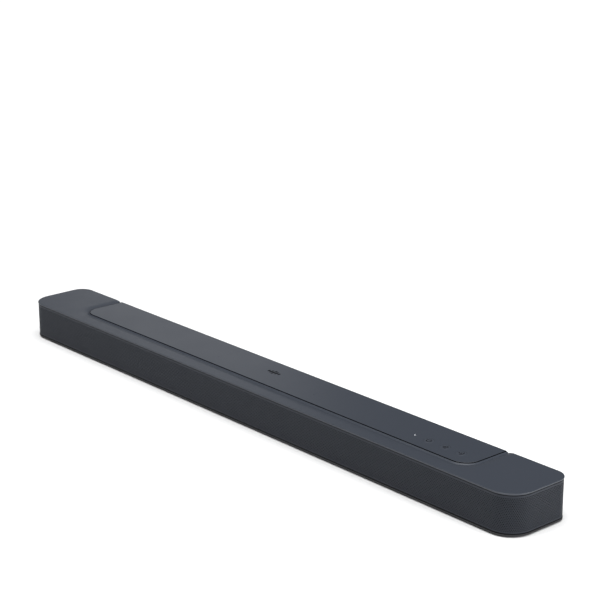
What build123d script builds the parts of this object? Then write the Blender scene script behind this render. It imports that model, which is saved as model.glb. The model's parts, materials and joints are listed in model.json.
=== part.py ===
"""A long, low television soundbar that stands on a shelf or hangs on a wall.

+X runs to the listener's right along the bar, the front faces -Y and +Z is up. The origin is on the
surface that the bar stands on, under the middle of its plan. All sizes are in millimetres.

From outside in: a bottom cover, a rear cover with two connector bays, a top cover with an inlaid control
panel, and a steel grille that wraps the front and both ends. Behind the grille a channel-shaped baffle
carries four oval woofers and three dome tweeters. The electronics lie behind them, and twelve long screws
in tubular spacers hold the covers together.
"""

import os

from build123d import *

# ---------------------------------------------------------------- overall sizes
LENGTH = 1017.0
DEPTH = 103.5
HEIGHT = 56.0
FRONT_CORNER = 33.0  # plan radius of the two front corners
REAR_CORNER = 20.0  # plan radius of the two rear corners

# ---------------------------------------------------------------- covers
FOOT_PROUD = 1.2  # how far the rubber feet hold the bottom cover off the shelf
FLOOR_WALL = 2.2
LIP_HEIGHT = 2.8  # visible height of the bottom cover
LIP_WALL = 1.1
TOP_WALL = 1.8  # visible edge of the top cover
SEAM = 0.9  # shadow gap above and below the grille
BASE_ROUND = 1.1  # rounding of the bottom cover's lower edge
TOP_ROUND = 0.7  # rounding of the top cover's upper edge
RIM_WALL = 1.6  # locating rims inside both covers
RIM_HEIGHT = 4.5
FIT = 0.2  # clearance between neighbouring mouldings
OVERCUT = 1.0  # how far a cut runs past the face that it opens

# ---------------------------------------------------------------- inlaid control panel and its valley
PANEL_LENGTH = 808.0
PANEL_FRONT_Y = -20.0
PANEL_CORNER = 22.0
PANEL_SHEET = 1.8
PANEL_BELOW_TOP = 0.35  # the panel lies a little lower than the cover round it
PANEL_REAR_SET_IN = 0.4
PANEL_GAP = 1.0  # dark line between the panel and the cover
PANEL_TAPE = 0.1
PANEL_ROUND = 0.35
RIDGE_TOP = 0.9  # below the panel's face
RIDGE_CREST = 0.4
VALLEY_FLOOR_OFFSET = 4.0  # from the panel's edge to the deepest line
VALLEY_DEPTH = 2.2
VALLEY_WIDTH = 17.0  # from the panel's edge to the level part of the cover
VALLEY_CURVE = 1.7  # power of the ramp: 1 is straight, more is steeper at the low line
VALLEY_STEPS = 9
DECK_WALL = 2.3  # left under the panel's recess
DECK_OFFSET = 13.0  # how far the deck reaches past the panel
MIC_HOLE_X = 102.0
MIC_HOLE_RADIUS = 0.7
MIC_DECK_HOLE_RADIUS = 1.4  # wider below the panel, so the two holes need not line up

# ---------------------------------------------------------------- buttons
BUTTON_X = {"power_button": 318.6, "source_button": 346.3, "pairing_button": 374.1}
BUTTON_Y = 3.0
BUTTON_RADIUS = 7.0
BUTTON_GAP = 0.15
BUTTON_FLANGE = 1.3  # how much wider the hidden flange is
BUTTON_FLANGE_SHEET = 0.9
BUTTON_STOP_GAP = 0.3
BUTTON_TRAVEL = 0.5
BUTTON_STEM_RADIUS = 2.2
KEY_WINDOW_MARGIN = 3.0
LIGHT_X = 293.8
LIGHT_RADIUS = 0.8
LED_HEIGHT = 1.2
SWITCH_SIDE = 6.0
SWITCH_HEIGHT = 3.0
SWITCH_PLUNGER = 0.8
SWITCH_PLUNGER_RADIUS = 1.5
BUTTON_ROUND = 0.2
KEY_BOARD_DROP = 4.6  # from the deck's underside to the key board's top

# ---------------------------------------------------------------- grille, cloth and baffle
GRILLE_SET_IN = 0.5
GRILLE_SHEET = 0.8
CLOTH_SHEET = 0.4
BAFFLE_SET_IN = 12.0
BAFFLE_WALL = 2.5
BAFFLE_SHELF = 2.0
REAR_RETURN = 8.0  # straight run of the grille on the rear face
REAR_WALL = 2.2

# ---------------------------------------------------------------- woofers
WOOFER_LENGTH = 90.0
WOOFER_HEIGHT = 46.0
WOOFER_FLANGE = 2.0
WOOFER_CORNER = 6.0
WOOFER_INNER_X = 95.0
WOOFER_FROM_END = 148.5
WOOFER_SCREW_EDGE = 4.6
BASKET_MARGIN = 4.0  # flange width round the basket
BASKET_DEPTH = 19.0
BASKET_WALL = 1.5
BASKET_WINDOW = (16.0, 10.0)
BASKET_WINDOW_PITCH = 22.0
SURROUND_OVERLAP = 2.0  # lands on the flange
SURROUND_WIDTH = 4.6
SURROUND_ROLL = 2.4
SURROUND_SHEET = 0.6
SURROUND_ROUND = 2.2
CONE_CLEARANCE = 0.45
CONE_SHEET = 0.8
CONE_EDGE = 1.2
CONE_DEPTH = 11.0
COIL_RADIUS = 8.2
COIL_SHEET = 0.7
COIL_IN_GAP = 4.5
MOTOR_RADIUS = 16.0
MOTOR_DEPTH = 13.0
MOTOR_GAP_DEPTH = 9.5
MOTOR_GAP_CLEARANCE = 0.5
MOTOR_CHAMFER = 1.0
DUST_CAP_RISE = 3.0
CAP_SHEET = 0.6
CAP_RADIUS = 8.8
CONE_SPREAD = 4.0  # how much longer than the coil the cone's neck is

# ---------------------------------------------------------------- tweeters
TWEETER_RADIUS = 20.0
TWEETER_FLANGE = 2.0
TWEETER_BODY_RADIUS = 15.0
TWEETER_BODY_DEPTH = 15.0
DOME_RADIUS = 10.0
DOME_RISE = 3.6
DOME_SHEET = 0.5
DOME_SKIRT = 1.2
DOME_CLEARANCE = 0.4
DOME_WELL = 6.0
HORN_FLARE = 1.4
TWEETER_SCREW_RADIUS = 17.6

# ---------------------------------------------------------------- fasteners
SCREW_RADIUS = 1.2
SCREW_HEAD_RADIUS = 2.4
SCREW_HEAD_HEIGHT = 1.6
SCREW_CLEARANCE = 0.4
PILOT_CLEARANCE = 0.05
DRIVE_SLOT = 0.7
DRIVE_LENGTH = 3.1
DRIVE_DEPTH = 0.8
POST_RADIUS = 4.6
POST_WELL_RADIUS = 3.2
POST_WEB = 2.5
POST_CUP_HEIGHT = 4.5  # the screw cups stand this far above the floor
POST_JOIN_BELOW = 8.2  # the spacers meet the top cover's bosses this far below its underside
POST_SCREW_BITE = 6.0
POST_FROM_INNER_WOOFER = 12.0  # from its flange to the post's axis
POST_FROM_OUTER_WOOFER = 7.0
POST_FROM_END = 40.0
POST_FRONT_Y = -26.0
POST_REAR_Y = 38.0
PILOT_DEPTH = 7.0
KEY_PILOT_DEPTH = 5.5

# ---------------------------------------------------------------- feet and wall mounting
FOOT_LENGTH = 60.0
FOOT_WIDTH = 12.0
FOOT_POCKET = 0.8
FOOT_ROUND = 0.4
FOOT_FROM_END = 128.0
FOOT_FROM_EDGE = 16.0
MOUNT_SPACING = 700.0
MOUNT_Z = 28.0
INSERT_RADIUS = 3.0
INSERT_BORE_RADIUS = 2.1
INSERT_LENGTH = 9.0
INSERT_BOSS_RADIUS = 5.0
INSERT_BOSS_WALL = 1.5

# ---------------------------------------------------------------- connector bays, boards and sockets
BOARD_X = 230.0  # middle of the electronics, each side of the centre
BOARD_LENGTH = 140.0
BOARD_WIDTH = 41.05
BOARD_SHEET = 1.6
BOARD_HEIGHT = 8.0  # above the floor
STANDOFF_RADIUS = 3.0
STANDOFF_FROM_EDGE = 5.0
BAY_DEPTH = 28.0
BAY_HEIGHT = 31.0
BAY_WALL = 2.0
SIGNAL_BAY_WIDTH = 116.0
POWER_BAY_WIDTH = 56.0
VENT_COUNT = 22
VENT_PITCH = 6.0
VENT_SLOT = (20.0, 2.4)
VENT_Z = 28.0
SOCKET_CLEARANCE = 0.15
SOCKET_PROUD = 0.6  # sockets stand this far into the bay
HDMI_OPENING = (14.0, 4.6)
HDMI_CHAMFER = 1.9
HDMI_SHELL = 0.5
HDMI_DEPTH = 11.0
HDMI_TONGUE = (11.0, 1.6)
USB_OPENING = (12.5, 5.1)
USB_SHELL = 0.4
USB_DEPTH = 13.0
USB_TONGUE = (11.1, 1.9)
TONGUE_SET_BACK = 1.0
OPTICAL_BODY = (11.6, 12.0)
OPTICAL_DEPTH = 16.0
OPTICAL_MOUTH = 8.8
OPTICAL_CAVITY_DEPTH = 13.0
SHUTTER_SHEET = 0.8
SHUTTER_GAP = 0.3
OPTICAL_LIP = 1.0
OPTICAL_FLOOR = 0.8
OPTICAL_RECESS = 1.6
SHUTTER_PIN_RADIUS = 0.5
SHUTTER_PIN_LENGTH = 1.0
SHUTTER_PIN_CLEARANCE = 0.06
INLET_BODY = (24.0, 15.0)
INLET_DEPTH = 18.0
INLET_MOUTH = (15.4, 8.8)
INLET_CAVITY_DEPTH = 12.0
INLET_PIN_RADIUS = 1.2
INLET_PIN_SPACING = 8.6
INLET_PIN_SET_BACK = 1.0
INLET_CORNER = 2.0
INLET_WAIST = 6.4
SOCKET_PITCH = 25.0
SOCKET_BACK = 1.0

# ---------------------------------------------------------------- parts on the boards, from the board's middle
CHIP = (18.0, 18.0, 2.2)
CHIP_X = -50.0
CHIP_Y = -6.0
SINK_X = 12.0
SINK_SIZE = (44.0, 18.0, 14.0)
SINK_BASE = 3.0
SINK_FINS = 8
SINK_FIN_SHEET = 1.2
CAPACITOR_RADIUS = 5.0
CAPACITOR_HEIGHT = 16.0
CAPACITORS = [(12.0, -13.0), (12.0, -1.5), (24.0, -13.0), (-38.0, -12.0)]
SMALL_CAPACITOR_RADIUS = 3.2
SMALL_CAPACITOR_HEIGHT = 10.0
SMALL_CAPACITORS = [(-26.0, 9.0), (-26.0, 1.0), (41.0, -12.0), (49.0, -12.0)]
TRANSFORMER = (26.0, 20.0, 20.0)
TRANSFORMER_X = -14.0
CHOKE_X = 40.0
CHOKE_RADIUS = 7.0
CHOKE_HEIGHT = 6.0
RIBBON_SOCKET = (16.0, 4.0, 4.0)
RIBBON_X = (-61.0, 54.0)
RIBBON_Y = 8.0
MIC_BOARD = (16.0, 12.0, 1.0)
MIC_CAN = (4.0, 3.0, 1.1)
ANTENNA = (46.0, 10.0, 1.0)
ANTENNA_FROM_END = 60.0
ANTENNA_Y = 12.0
DISPLAY_BOARD = (92.0, 22.0, 1.6)
DISPLAY_WINDOW = (78.0, 14.0, 3.0)
DISPLAY_CORNER = 1.0
BOARD_SCREW_LENGTH = 6.0

# ---------------------------------------------------------------- levels and places worked out from them
PILOT_RADIUS = SCREW_RADIUS + PILOT_CLEARANCE
SCREW_HOLE_RADIUS = SCREW_RADIUS + SCREW_CLEARANCE
TWEETER_SCREW_SPACING = TWEETER_SCREW_RADIUS * 2**0.5
BASE_Z = FOOT_PROUD
FLOOR_Z = BASE_Z + FLOOR_WALL
LIP_Z = BASE_Z + LIP_HEIGHT
PLATE_Z = HEIGHT - TOP_WALL
GRILLE_LOW_Z = LIP_Z + SEAM
GRILLE_HIGH_Z = PLATE_Z - SEAM
GRILLE_BACK = GRILLE_SET_IN + GRILLE_SHEET
CLOTH_BACK = GRILLE_BACK + CLOTH_SHEET
PANEL_TOP_Z = HEIGHT - PANEL_BELOW_TOP
PANEL_LOW_Z = PANEL_TOP_Z - PANEL_SHEET
RECESS_Z = PANEL_LOW_Z - PANEL_TAPE
DECK_Z = RECESS_Z - DECK_WALL
KEY_BOARD_Z = DECK_Z - KEY_BOARD_DROP
KEY_FIRST_X = LIGHT_X - KEY_WINDOW_MARGIN
KEY_LAST_X = max(BUTTON_X.values()) + BUTTON_RADIUS + BUTTON_FLANGE + KEY_WINDOW_MARGIN
KEY_MIDDLE_X = (KEY_FIRST_X + KEY_LAST_X) / 2
KEY_WINDOW_WIDTH = 2 * (BUTTON_RADIUS + BUTTON_FLANGE + KEY_WINDOW_MARGIN)
KEY_BOSS_SPACING = KEY_LAST_X - KEY_FIRST_X + 2 * (STANDOFF_RADIUS + FIT)
BAFFLE_MID_Z = (FLOOR_Z + PLATE_Z) / 2
POST_LOW_Z = FLOOR_Z + POST_CUP_HEIGHT
POST_TOP_Z = PLATE_Z - POST_JOIN_BELOW
BOARD_Z = FLOOR_Z + BOARD_HEIGHT
BOARD_TOP_Z = BOARD_Z + BOARD_SHEET
FRONT_Y = -DEPTH / 2
REAR_Y = DEPTH / 2
REAR_FACE_Y = REAR_Y - GRILLE_SET_IN
REAR_STEP_Y = REAR_Y - CLOTH_BACK - FIT  # where the rear cover's proud middle begins
REAR_INNER_Y = REAR_STEP_Y - REAR_WALL
REAR_TOP_Z = RECESS_Z - FIT
BAY_FACE_Y = REAR_FACE_Y - BAY_DEPTH
BAY_TOP_Z = BASE_Z + BAY_HEIGHT
BAY_FRONT_Y = BAY_FACE_Y - BAY_WALL
BOARD_REAR_Y = BAY_FRONT_Y - FIT
BAYS = {"signal_bay": (BOARD_X, SIGNAL_BAY_WIDTH), "power_bay": (-BOARD_X, POWER_BAY_WIDTH)}
RIM_INSET = BAFFLE_SET_IN + BAFFLE_WALL + FIT
BASKET_LENGTH = WOOFER_LENGTH - 2 * BASKET_MARGIN
BASKET_HEIGHT = WOOFER_HEIGHT - 2 * BASKET_MARGIN
BAFFLE_FACE_Y = FRONT_Y + BAFFLE_SET_IN
BAFFLE_FACE_X = LENGTH / 2 - BAFFLE_SET_IN
END_FLAT_Y = (FRONT_CORNER - REAR_CORNER) / 2  # middle of the flat part of each end
GRILLE_END_X = LENGTH / 2 - REAR_CORNER - REAR_RETURN
REAR_HALF = GRILLE_END_X - SEAM
WOOFER_OUTER_X = LENGTH / 2 - WOOFER_FROM_END
POST_INNER_X = WOOFER_INNER_X + WOOFER_LENGTH / 2 + POST_FROM_INNER_WOOFER
POST_OUTER_X = WOOFER_OUTER_X - WOOFER_LENGTH / 2 - POST_FROM_OUTER_WOOFER
POST_END_X = LENGTH / 2 - POST_FROM_END
WOOFER_X = {
    "left_woofer": -WOOFER_OUTER_X,
    "centre_left_woofer": -WOOFER_INNER_X,
    "centre_right_woofer": WOOFER_INNER_X,
    "right_woofer": WOOFER_OUTER_X,
}
POST_POINTS = [
    (side * x, y)
    for x in (POST_INNER_X, POST_OUTER_X, POST_END_X)
    for side in (-1, 1)
    for y in (POST_FRONT_Y, POST_REAR_Y)
]
FOOT_POINTS = {
    f"{end}_{edge}_foot": (side_x * (LENGTH / 2 - FOOT_FROM_END), side_y * (DEPTH / 2 - FOOT_FROM_EDGE))
    for end, side_x in (("left", -1), ("right", 1))
    for edge, side_y in (("front", -1), ("rear", 1))
}
SIGNAL_SOCKETS = ("optical", "usb", "hdmi_in", "hdmi_out")
SOCKET_X = {
    name: BOARD_X + (place - (len(SIGNAL_SOCKETS) - 1) / 2) * SOCKET_PITCH
    for place, name in enumerate(SIGNAL_SOCKETS)
}
SOCKET_X["power"] = -BOARD_X
SOCKET_OUTER = {
    "optical": OPTICAL_BODY,
    "usb": (USB_OPENING[0] + 2 * USB_SHELL, USB_OPENING[1] + 2 * USB_SHELL),
    "hdmi_in": (HDMI_OPENING[0] + 2 * HDMI_SHELL, HDMI_OPENING[1] + 2 * HDMI_SHELL),
    "hdmi_out": (HDMI_OPENING[0] + 2 * HDMI_SHELL, HDMI_OPENING[1] + 2 * HDMI_SHELL),
    "power": INLET_BODY,
}


# ---------------------------------------------------------------- outlines shared by several pieces
def bar_outline(inset):
    """The bar's plan, moved inwards by inset: large front corners and smaller rear ones."""
    half_x = LENGTH / 2 - inset
    half_y = DEPTH / 2 - inset
    with BuildSketch() as plan:
        Rectangle(2 * half_x, 2 * half_y)
        fillet(plan.vertices().group_by(Axis.Y)[0], FRONT_CORNER - inset)
        fillet(plan.vertices().group_by(Axis.Y)[-1], REAR_CORNER - inset)
    return plan.sketch


def wrap_band(outer_inset, inner_inset, end_x):
    """A band round the front, the ends and the rear corners. It stops at end_x on the rear side."""
    with BuildSketch() as band:
        add(bar_outline(outer_inset))
        add(bar_outline(inner_inset), mode=Mode.SUBTRACT)
        with Locations((0, REAR_Y)):
            Rectangle(2 * end_x, DEPTH, mode=Mode.SUBTRACT)
    return band.sketch


def front_band(outer_inset, inner_inset):
    """A band along the front and the flat of both ends."""
    with BuildSketch() as band:
        add(bar_outline(outer_inset))
        add(bar_outline(inner_inset), mode=Mode.SUBTRACT)
        with Locations((0, REAR_Y)):
            Rectangle(LENGTH, 2 * REAR_CORNER, mode=Mode.SUBTRACT)
    return band.sketch


def panel_outline(offset_out, rear_y):
    """The control panel's plan, grown by offset_out on its front and ends and cut off at rear_y."""
    half = PANEL_LENGTH / 2 + offset_out
    front = PANEL_FRONT_Y - offset_out
    with BuildSketch() as plan:
        with Locations((0, (front + rear_y) / 2)):
            Rectangle(2 * half, rear_y - front)
        fillet(plan.vertices().group_by(Axis.Y)[0], PANEL_CORNER + offset_out)
    return plan.sketch


def front_facing(x, y, z):
    """A plane that faces the front, with its own Y pointing up."""
    return Plane(origin=(x, y, z), x_dir=(1, 0, 0), z_dir=(0, -1, 0))


def rear_facing(x, y, z):
    """A plane that faces the rear, with its own Y pointing up."""
    return Plane(origin=(x, y, z), x_dir=(-1, 0, 0), z_dir=(0, 1, 0))


def end_facing(side, x, y, z):
    """A plane that faces out of the bar's end on that side (-1 or 1), with its own Y pointing up."""
    return Plane(origin=(side * x, y, z), x_dir=(0, side, 0), z_dir=(side, 0, 0))


def down_facing(x, y, z):
    """A plane that faces the shelf."""
    return Plane(origin=(x, y, z), x_dir=(1, 0, 0), z_dir=(0, 0, -1))


def corner_planes(plane, spacing_x, spacing_y):
    """Four planes at the corners of a rectangle round the given plane's origin."""
    return [
        Plane(plane.from_local_coords(Vector(x, y, 0)), plane.x_dir, plane.z_dir)
        for x in (-spacing_x / 2, spacing_x / 2)
        for y in (-spacing_y / 2, spacing_y / 2)
    ]


WOOFER_PLANES = {name: front_facing(x, BAFFLE_FACE_Y, BAFFLE_MID_Z) for name, x in WOOFER_X.items()}
TWEETER_PLANES = {
    "centre_tweeter": front_facing(0, BAFFLE_FACE_Y, BAFFLE_MID_Z),
    "left_tweeter": end_facing(-1, BAFFLE_FACE_X, END_FLAT_Y, BAFFLE_MID_Z),
    "right_tweeter": end_facing(1, BAFFLE_FACE_X, END_FLAT_Y, BAFFLE_MID_Z),
}
WOOFER_SCREW_PLANES = [
    corner
    for plane in WOOFER_PLANES.values()
    for corner in corner_planes(plane, WOOFER_LENGTH - WOOFER_SCREW_EDGE, WOOFER_HEIGHT - WOOFER_SCREW_EDGE)
]
TWEETER_SCREW_PLANES = [
    corner
    for plane in TWEETER_PLANES.values()
    for corner in corner_planes(plane, TWEETER_SCREW_SPACING, TWEETER_SCREW_SPACING)
]
INSERT_PLANES = {
    "left_wall_insert": rear_facing(-MOUNT_SPACING / 2, REAR_FACE_Y, MOUNT_Z),
    "right_wall_insert": rear_facing(MOUNT_SPACING / 2, REAR_FACE_Y, MOUNT_Z),
}
BOARD_MIDDLE_Y = BOARD_REAR_Y - BOARD_WIDTH / 2
MAIN_PLANE = Plane((BOARD_X, BOARD_MIDDLE_Y, BOARD_TOP_Z))
POWER_PLANE = Plane((-BOARD_X, BOARD_MIDDLE_Y, BOARD_TOP_Z))


def board_screws_on(plane):
    """Planes on a board's upper face, one at each of its four screws."""
    return corner_planes(plane, BOARD_LENGTH - 2 * STANDOFF_FROM_EDGE, BOARD_WIDTH - 2 * STANDOFF_FROM_EDGE)


BOARD_SCREW_PLANES = board_screws_on(MAIN_PLANE) + board_screws_on(POWER_PLANE)
KEY_SCREW_PLANES = [
    down_facing(KEY_MIDDLE_X + side * KEY_BOSS_SPACING / 2, BUTTON_Y, KEY_BOARD_Z - BOARD_SHEET)
    for side in (-1, 1)
]


def drill(planes, radius, depth):
    """Blind holes into the part being built, one on each plane."""
    for plane in planes:
        with BuildSketch(plane) as hole:
            Circle(radius)
        extrude(hole.sketch, amount=-depth, mode=Mode.SUBTRACT)


# ---------------------------------------------------------------- covers
with BuildPart() as bottom_cover:
    with BuildSketch(Plane.XY.offset(BASE_Z)):
        add(bar_outline(0))
    extrude(amount=FLOOR_WALL)
    with BuildSketch(Plane.XY.offset(FLOOR_Z)):
        add(bar_outline(0))
        add(bar_outline(LIP_WALL), mode=Mode.SUBTRACT)
    extrude(amount=LIP_Z - FLOOR_Z)
    fillet(bottom_cover.faces().sort_by(Axis.Z)[0].edges(), BASE_ROUND)
    with BuildSketch(Plane.XY.offset(FLOOR_Z)):
        add(front_band(RIM_INSET, RIM_INSET + RIM_WALL))
    extrude(amount=RIM_HEIGHT)
    with BuildSketch(Plane.XY.offset(FLOOR_Z)):
        with Locations(*POST_POINTS):
            Circle(POST_RADIUS)
    extrude(amount=POST_CUP_HEIGHT)
    for plane in BOARD_SCREW_PLANES:
        with BuildSketch(plane.offset(-BOARD_SHEET)):
            Circle(STANDOFF_RADIUS)
        extrude(amount=-BOARD_HEIGHT)
    drill([plane.offset(-BOARD_SHEET) for plane in BOARD_SCREW_PLANES], PILOT_RADIUS, PILOT_DEPTH)
    well_planes = [down_facing(x, y, BASE_Z) for x, y in POST_POINTS]
    drill(well_planes, POST_WELL_RADIUS, POST_LOW_Z - POST_WEB - BASE_Z)
    drill(well_planes, SCREW_HOLE_RADIUS, POST_LOW_Z - BASE_Z)
    with BuildSketch(Plane.XY.offset(BASE_Z)):
        with Locations(*FOOT_POINTS.values()):
            SlotOverall(FOOT_LENGTH + FIT, FOOT_WIDTH + FIT)
    extrude(amount=FOOT_POCKET, mode=Mode.SUBTRACT)
    with BuildSketch(Plane.XY.offset(BASE_Z)):
        for middle_x, width in BAYS.values():
            with Locations((middle_x, (BAY_FRONT_Y - FIT + REAR_Y) / 2)):
                Rectangle(width + 2 * (BAY_WALL + FIT), REAR_Y - BAY_FRONT_Y + FIT)
    extrude(amount=LIP_HEIGHT, mode=Mode.SUBTRACT)
bottom_cover.part.label = "bottom_cover"

with BuildPart() as cover_spacers:
    with BuildSketch(Plane.XY.offset(POST_LOW_Z)):
        with Locations(*POST_POINTS):
            Circle(POST_RADIUS)
            Circle(SCREW_HOLE_RADIUS, mode=Mode.SUBTRACT)
    extrude(amount=POST_TOP_Z - POST_LOW_Z)
cover_spacers.part.label = "cover_spacers"

with BuildPart() as top_cover:
    with BuildSketch(Plane.XY.offset(PLATE_Z)):
        add(bar_outline(0))
    extrude(amount=TOP_WALL)
    fillet(top_cover.faces().sort_by(Axis.Z)[-1].edges(), TOP_ROUND)
    with BuildSketch(Plane.XY.offset(DECK_Z)):
        add(panel_outline(DECK_OFFSET, REAR_INNER_Y - FIT))
    extrude(amount=PLATE_Z - DECK_Z)
    with BuildSketch(Plane.XY.offset(PLATE_Z)):
        add(front_band(RIM_INSET, RIM_INSET + RIM_WALL))
    extrude(amount=-RIM_HEIGHT)
    with BuildSketch(Plane.XY.offset(POST_TOP_Z)):
        with Locations(*POST_POINTS):
            Circle(POST_RADIUS)
    extrude(amount=POST_JOIN_BELOW)
    # the valley: a ramp rises from a low line round the panel and runs out smoothly into the level top
    for step in range(VALLEY_STEPS + 1):
        rise = step / VALLEY_STEPS
        ramp_z = HEIGHT - VALLEY_DEPTH * (1 - rise) ** VALLEY_CURVE
        with BuildSketch(Plane.XY.offset(ramp_z)):
            ramp_offset = VALLEY_FLOOR_OFFSET + rise * (VALLEY_WIDTH - VALLEY_FLOOR_OFFSET)
            add(panel_outline(ramp_offset, REAR_Y + OVERCUT))
    loft(ruled=True, mode=Mode.SUBTRACT)
    # the ridge climbs again to just under the panel's face
    with BuildSketch(Plane.XY.offset(HEIGHT - VALLEY_DEPTH)):
        add(panel_outline(VALLEY_FLOOR_OFFSET, REAR_Y))
    with BuildSketch(Plane.XY.offset(PANEL_TOP_Z - RIDGE_TOP)):
        add(panel_outline(PANEL_GAP + RIDGE_CREST, REAR_Y))
    loft(ruled=True)
    with BuildSketch(Plane.XY.offset(RECESS_Z)):
        add(panel_outline(PANEL_GAP, REAR_Y + OVERCUT))
    extrude(amount=HEIGHT - RECESS_Z, mode=Mode.SUBTRACT)
    # a window for the buttons, a hole for each microphone, and bosses that hold the key board
    with BuildSketch(Plane.XY.offset(DECK_Z)):
        with Locations((KEY_MIDDLE_X, BUTTON_Y)):
            Rectangle(KEY_LAST_X - KEY_FIRST_X, KEY_WINDOW_WIDTH)
        with Locations((-MIC_HOLE_X, BUTTON_Y), (MIC_HOLE_X, BUTTON_Y)):
            Circle(MIC_DECK_HOLE_RADIUS)
    extrude(amount=DECK_WALL, mode=Mode.SUBTRACT)
    for plane in KEY_SCREW_PLANES:
        with BuildSketch(plane.offset(-BOARD_SHEET)):
            Circle(STANDOFF_RADIUS)
        extrude(amount=-KEY_BOARD_DROP)
    drill([plane.offset(-BOARD_SHEET) for plane in KEY_SCREW_PLANES], PILOT_RADIUS, KEY_PILOT_DEPTH)
    drill([down_facing(x, y, POST_TOP_Z) for x, y in POST_POINTS], PILOT_RADIUS, PILOT_DEPTH)
top_cover.part.label = "top_cover"

with BuildPart() as rear_cover:
    with BuildSketch(Plane.XY.offset(FLOOR_Z + FIT)):
        add(bar_outline(CLOTH_BACK + FIT))
        add(bar_outline(CLOTH_BACK + FIT + REAR_WALL), mode=Mode.SUBTRACT)
        with Locations((0, REAR_Y - REAR_CORNER + FIT - DEPTH / 2)):
            Rectangle(LENGTH, DEPTH, mode=Mode.SUBTRACT)
    extrude(amount=REAR_TOP_Z - FLOOR_Z - FIT)
    with BuildSketch(Plane.XY.offset(GRILLE_LOW_Z)):
        with Locations((0, (REAR_STEP_Y + REAR_FACE_Y) / 2)):
            Rectangle(2 * REAR_HALF, REAR_FACE_Y - REAR_STEP_Y)
    extrude(amount=REAR_TOP_Z - GRILLE_LOW_Z)
    for side in (-1, 1):
        with BuildSketch(rear_facing(side * MOUNT_SPACING / 2, REAR_INNER_Y, MOUNT_Z)):
            Circle(INSERT_BOSS_RADIUS)
        extrude(amount=-(INSERT_LENGTH + INSERT_BOSS_WALL - (REAR_FACE_Y - REAR_INNER_Y)))
    with BuildSketch(Plane.XY.offset(FLOOR_Z)):
        for middle_x, width in BAYS.values():
            with Locations((middle_x, REAR_Y)):
                Rectangle(width + 2 * (BAY_WALL + FIT), 2 * (REAR_Y - REAR_INNER_Y))
    extrude(amount=BAY_TOP_Z + BAY_WALL + FIT - FLOOR_Z, mode=Mode.SUBTRACT)
    with BuildSketch(rear_facing(0, REAR_FACE_Y, VENT_Z)):
        with GridLocations(VENT_PITCH, 0, VENT_COUNT, 1):
            SlotOverall(VENT_SLOT[0], VENT_SLOT[1], rotation=90)
    extrude(amount=-(REAR_FACE_Y - REAR_INNER_Y), mode=Mode.SUBTRACT)
    drill(INSERT_PLANES.values(), INSERT_RADIUS, INSERT_LENGTH)
rear_cover.part.label = "rear_cover"


def connector_bay(middle_x, width):
    """A tray open to the rear and below. The sockets look through its inner wall."""
    with BuildPart() as bay:
        with BuildSketch(Plane.XY.offset(BASE_Z)):
            with Locations((middle_x, (BAY_FRONT_Y + REAR_FACE_Y) / 2)):
                Rectangle(width + 2 * BAY_WALL, REAR_FACE_Y - BAY_FRONT_Y)
        extrude(amount=BAY_HEIGHT + BAY_WALL)
        with BuildSketch(Plane.XY.offset(BASE_Z)):
            with Locations((middle_x, (BAY_FACE_Y + REAR_Y) / 2)):
                Rectangle(width, REAR_Y - BAY_FACE_Y)
        extrude(amount=BAY_HEIGHT, mode=Mode.SUBTRACT)
        with BuildSketch(rear_facing(0, BAY_FACE_Y, 0)):
            for name, (socket_width, socket_height) in SOCKET_OUTER.items():
                with Locations((-SOCKET_X[name], BOARD_TOP_Z + socket_height / 2)):
                    Rectangle(socket_width + 2 * SOCKET_CLEARANCE, socket_height + 2 * SOCKET_CLEARANCE)
        extrude(amount=-BAY_WALL, mode=Mode.SUBTRACT)
    return bay


with BuildPart() as control_panel:
    with BuildSketch(Plane.XY.offset(PANEL_LOW_Z)):
        add(panel_outline(0, REAR_Y - PANEL_REAR_SET_IN))
    extrude(amount=PANEL_SHEET)
    fillet(control_panel.faces().sort_by(Axis.Z)[-1].edges(), PANEL_ROUND)
    with BuildSketch(Plane.XY.offset(PANEL_LOW_Z)):
        with Locations(*[(x, BUTTON_Y) for x in BUTTON_X.values()]):
            Circle(BUTTON_RADIUS + BUTTON_GAP)
        with Locations((LIGHT_X, BUTTON_Y)):
            Circle(LIGHT_RADIUS)
        with Locations((-MIC_HOLE_X, BUTTON_Y), (MIC_HOLE_X, BUTTON_Y)):
            Circle(MIC_HOLE_RADIUS)
    extrude(amount=PANEL_SHEET, mode=Mode.SUBTRACT)
control_panel.part.label = "control_panel"

# ---------------------------------------------------------------- grille, cloth and baffle
with BuildPart() as front_grille:
    with BuildSketch(Plane.XY.offset(GRILLE_LOW_Z)):
        add(wrap_band(GRILLE_SET_IN, GRILLE_BACK, GRILLE_END_X))
    extrude(amount=GRILLE_HIGH_Z - GRILLE_LOW_Z)
front_grille.part.label = "front_grille"

with BuildPart() as grille_cloth:
    with BuildSketch(Plane.XY.offset(GRILLE_LOW_Z)):
        add(wrap_band(GRILLE_BACK, CLOTH_BACK, GRILLE_END_X))
    extrude(amount=GRILLE_HIGH_Z - GRILLE_LOW_Z)
grille_cloth.part.label = "grille_cloth"

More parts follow.
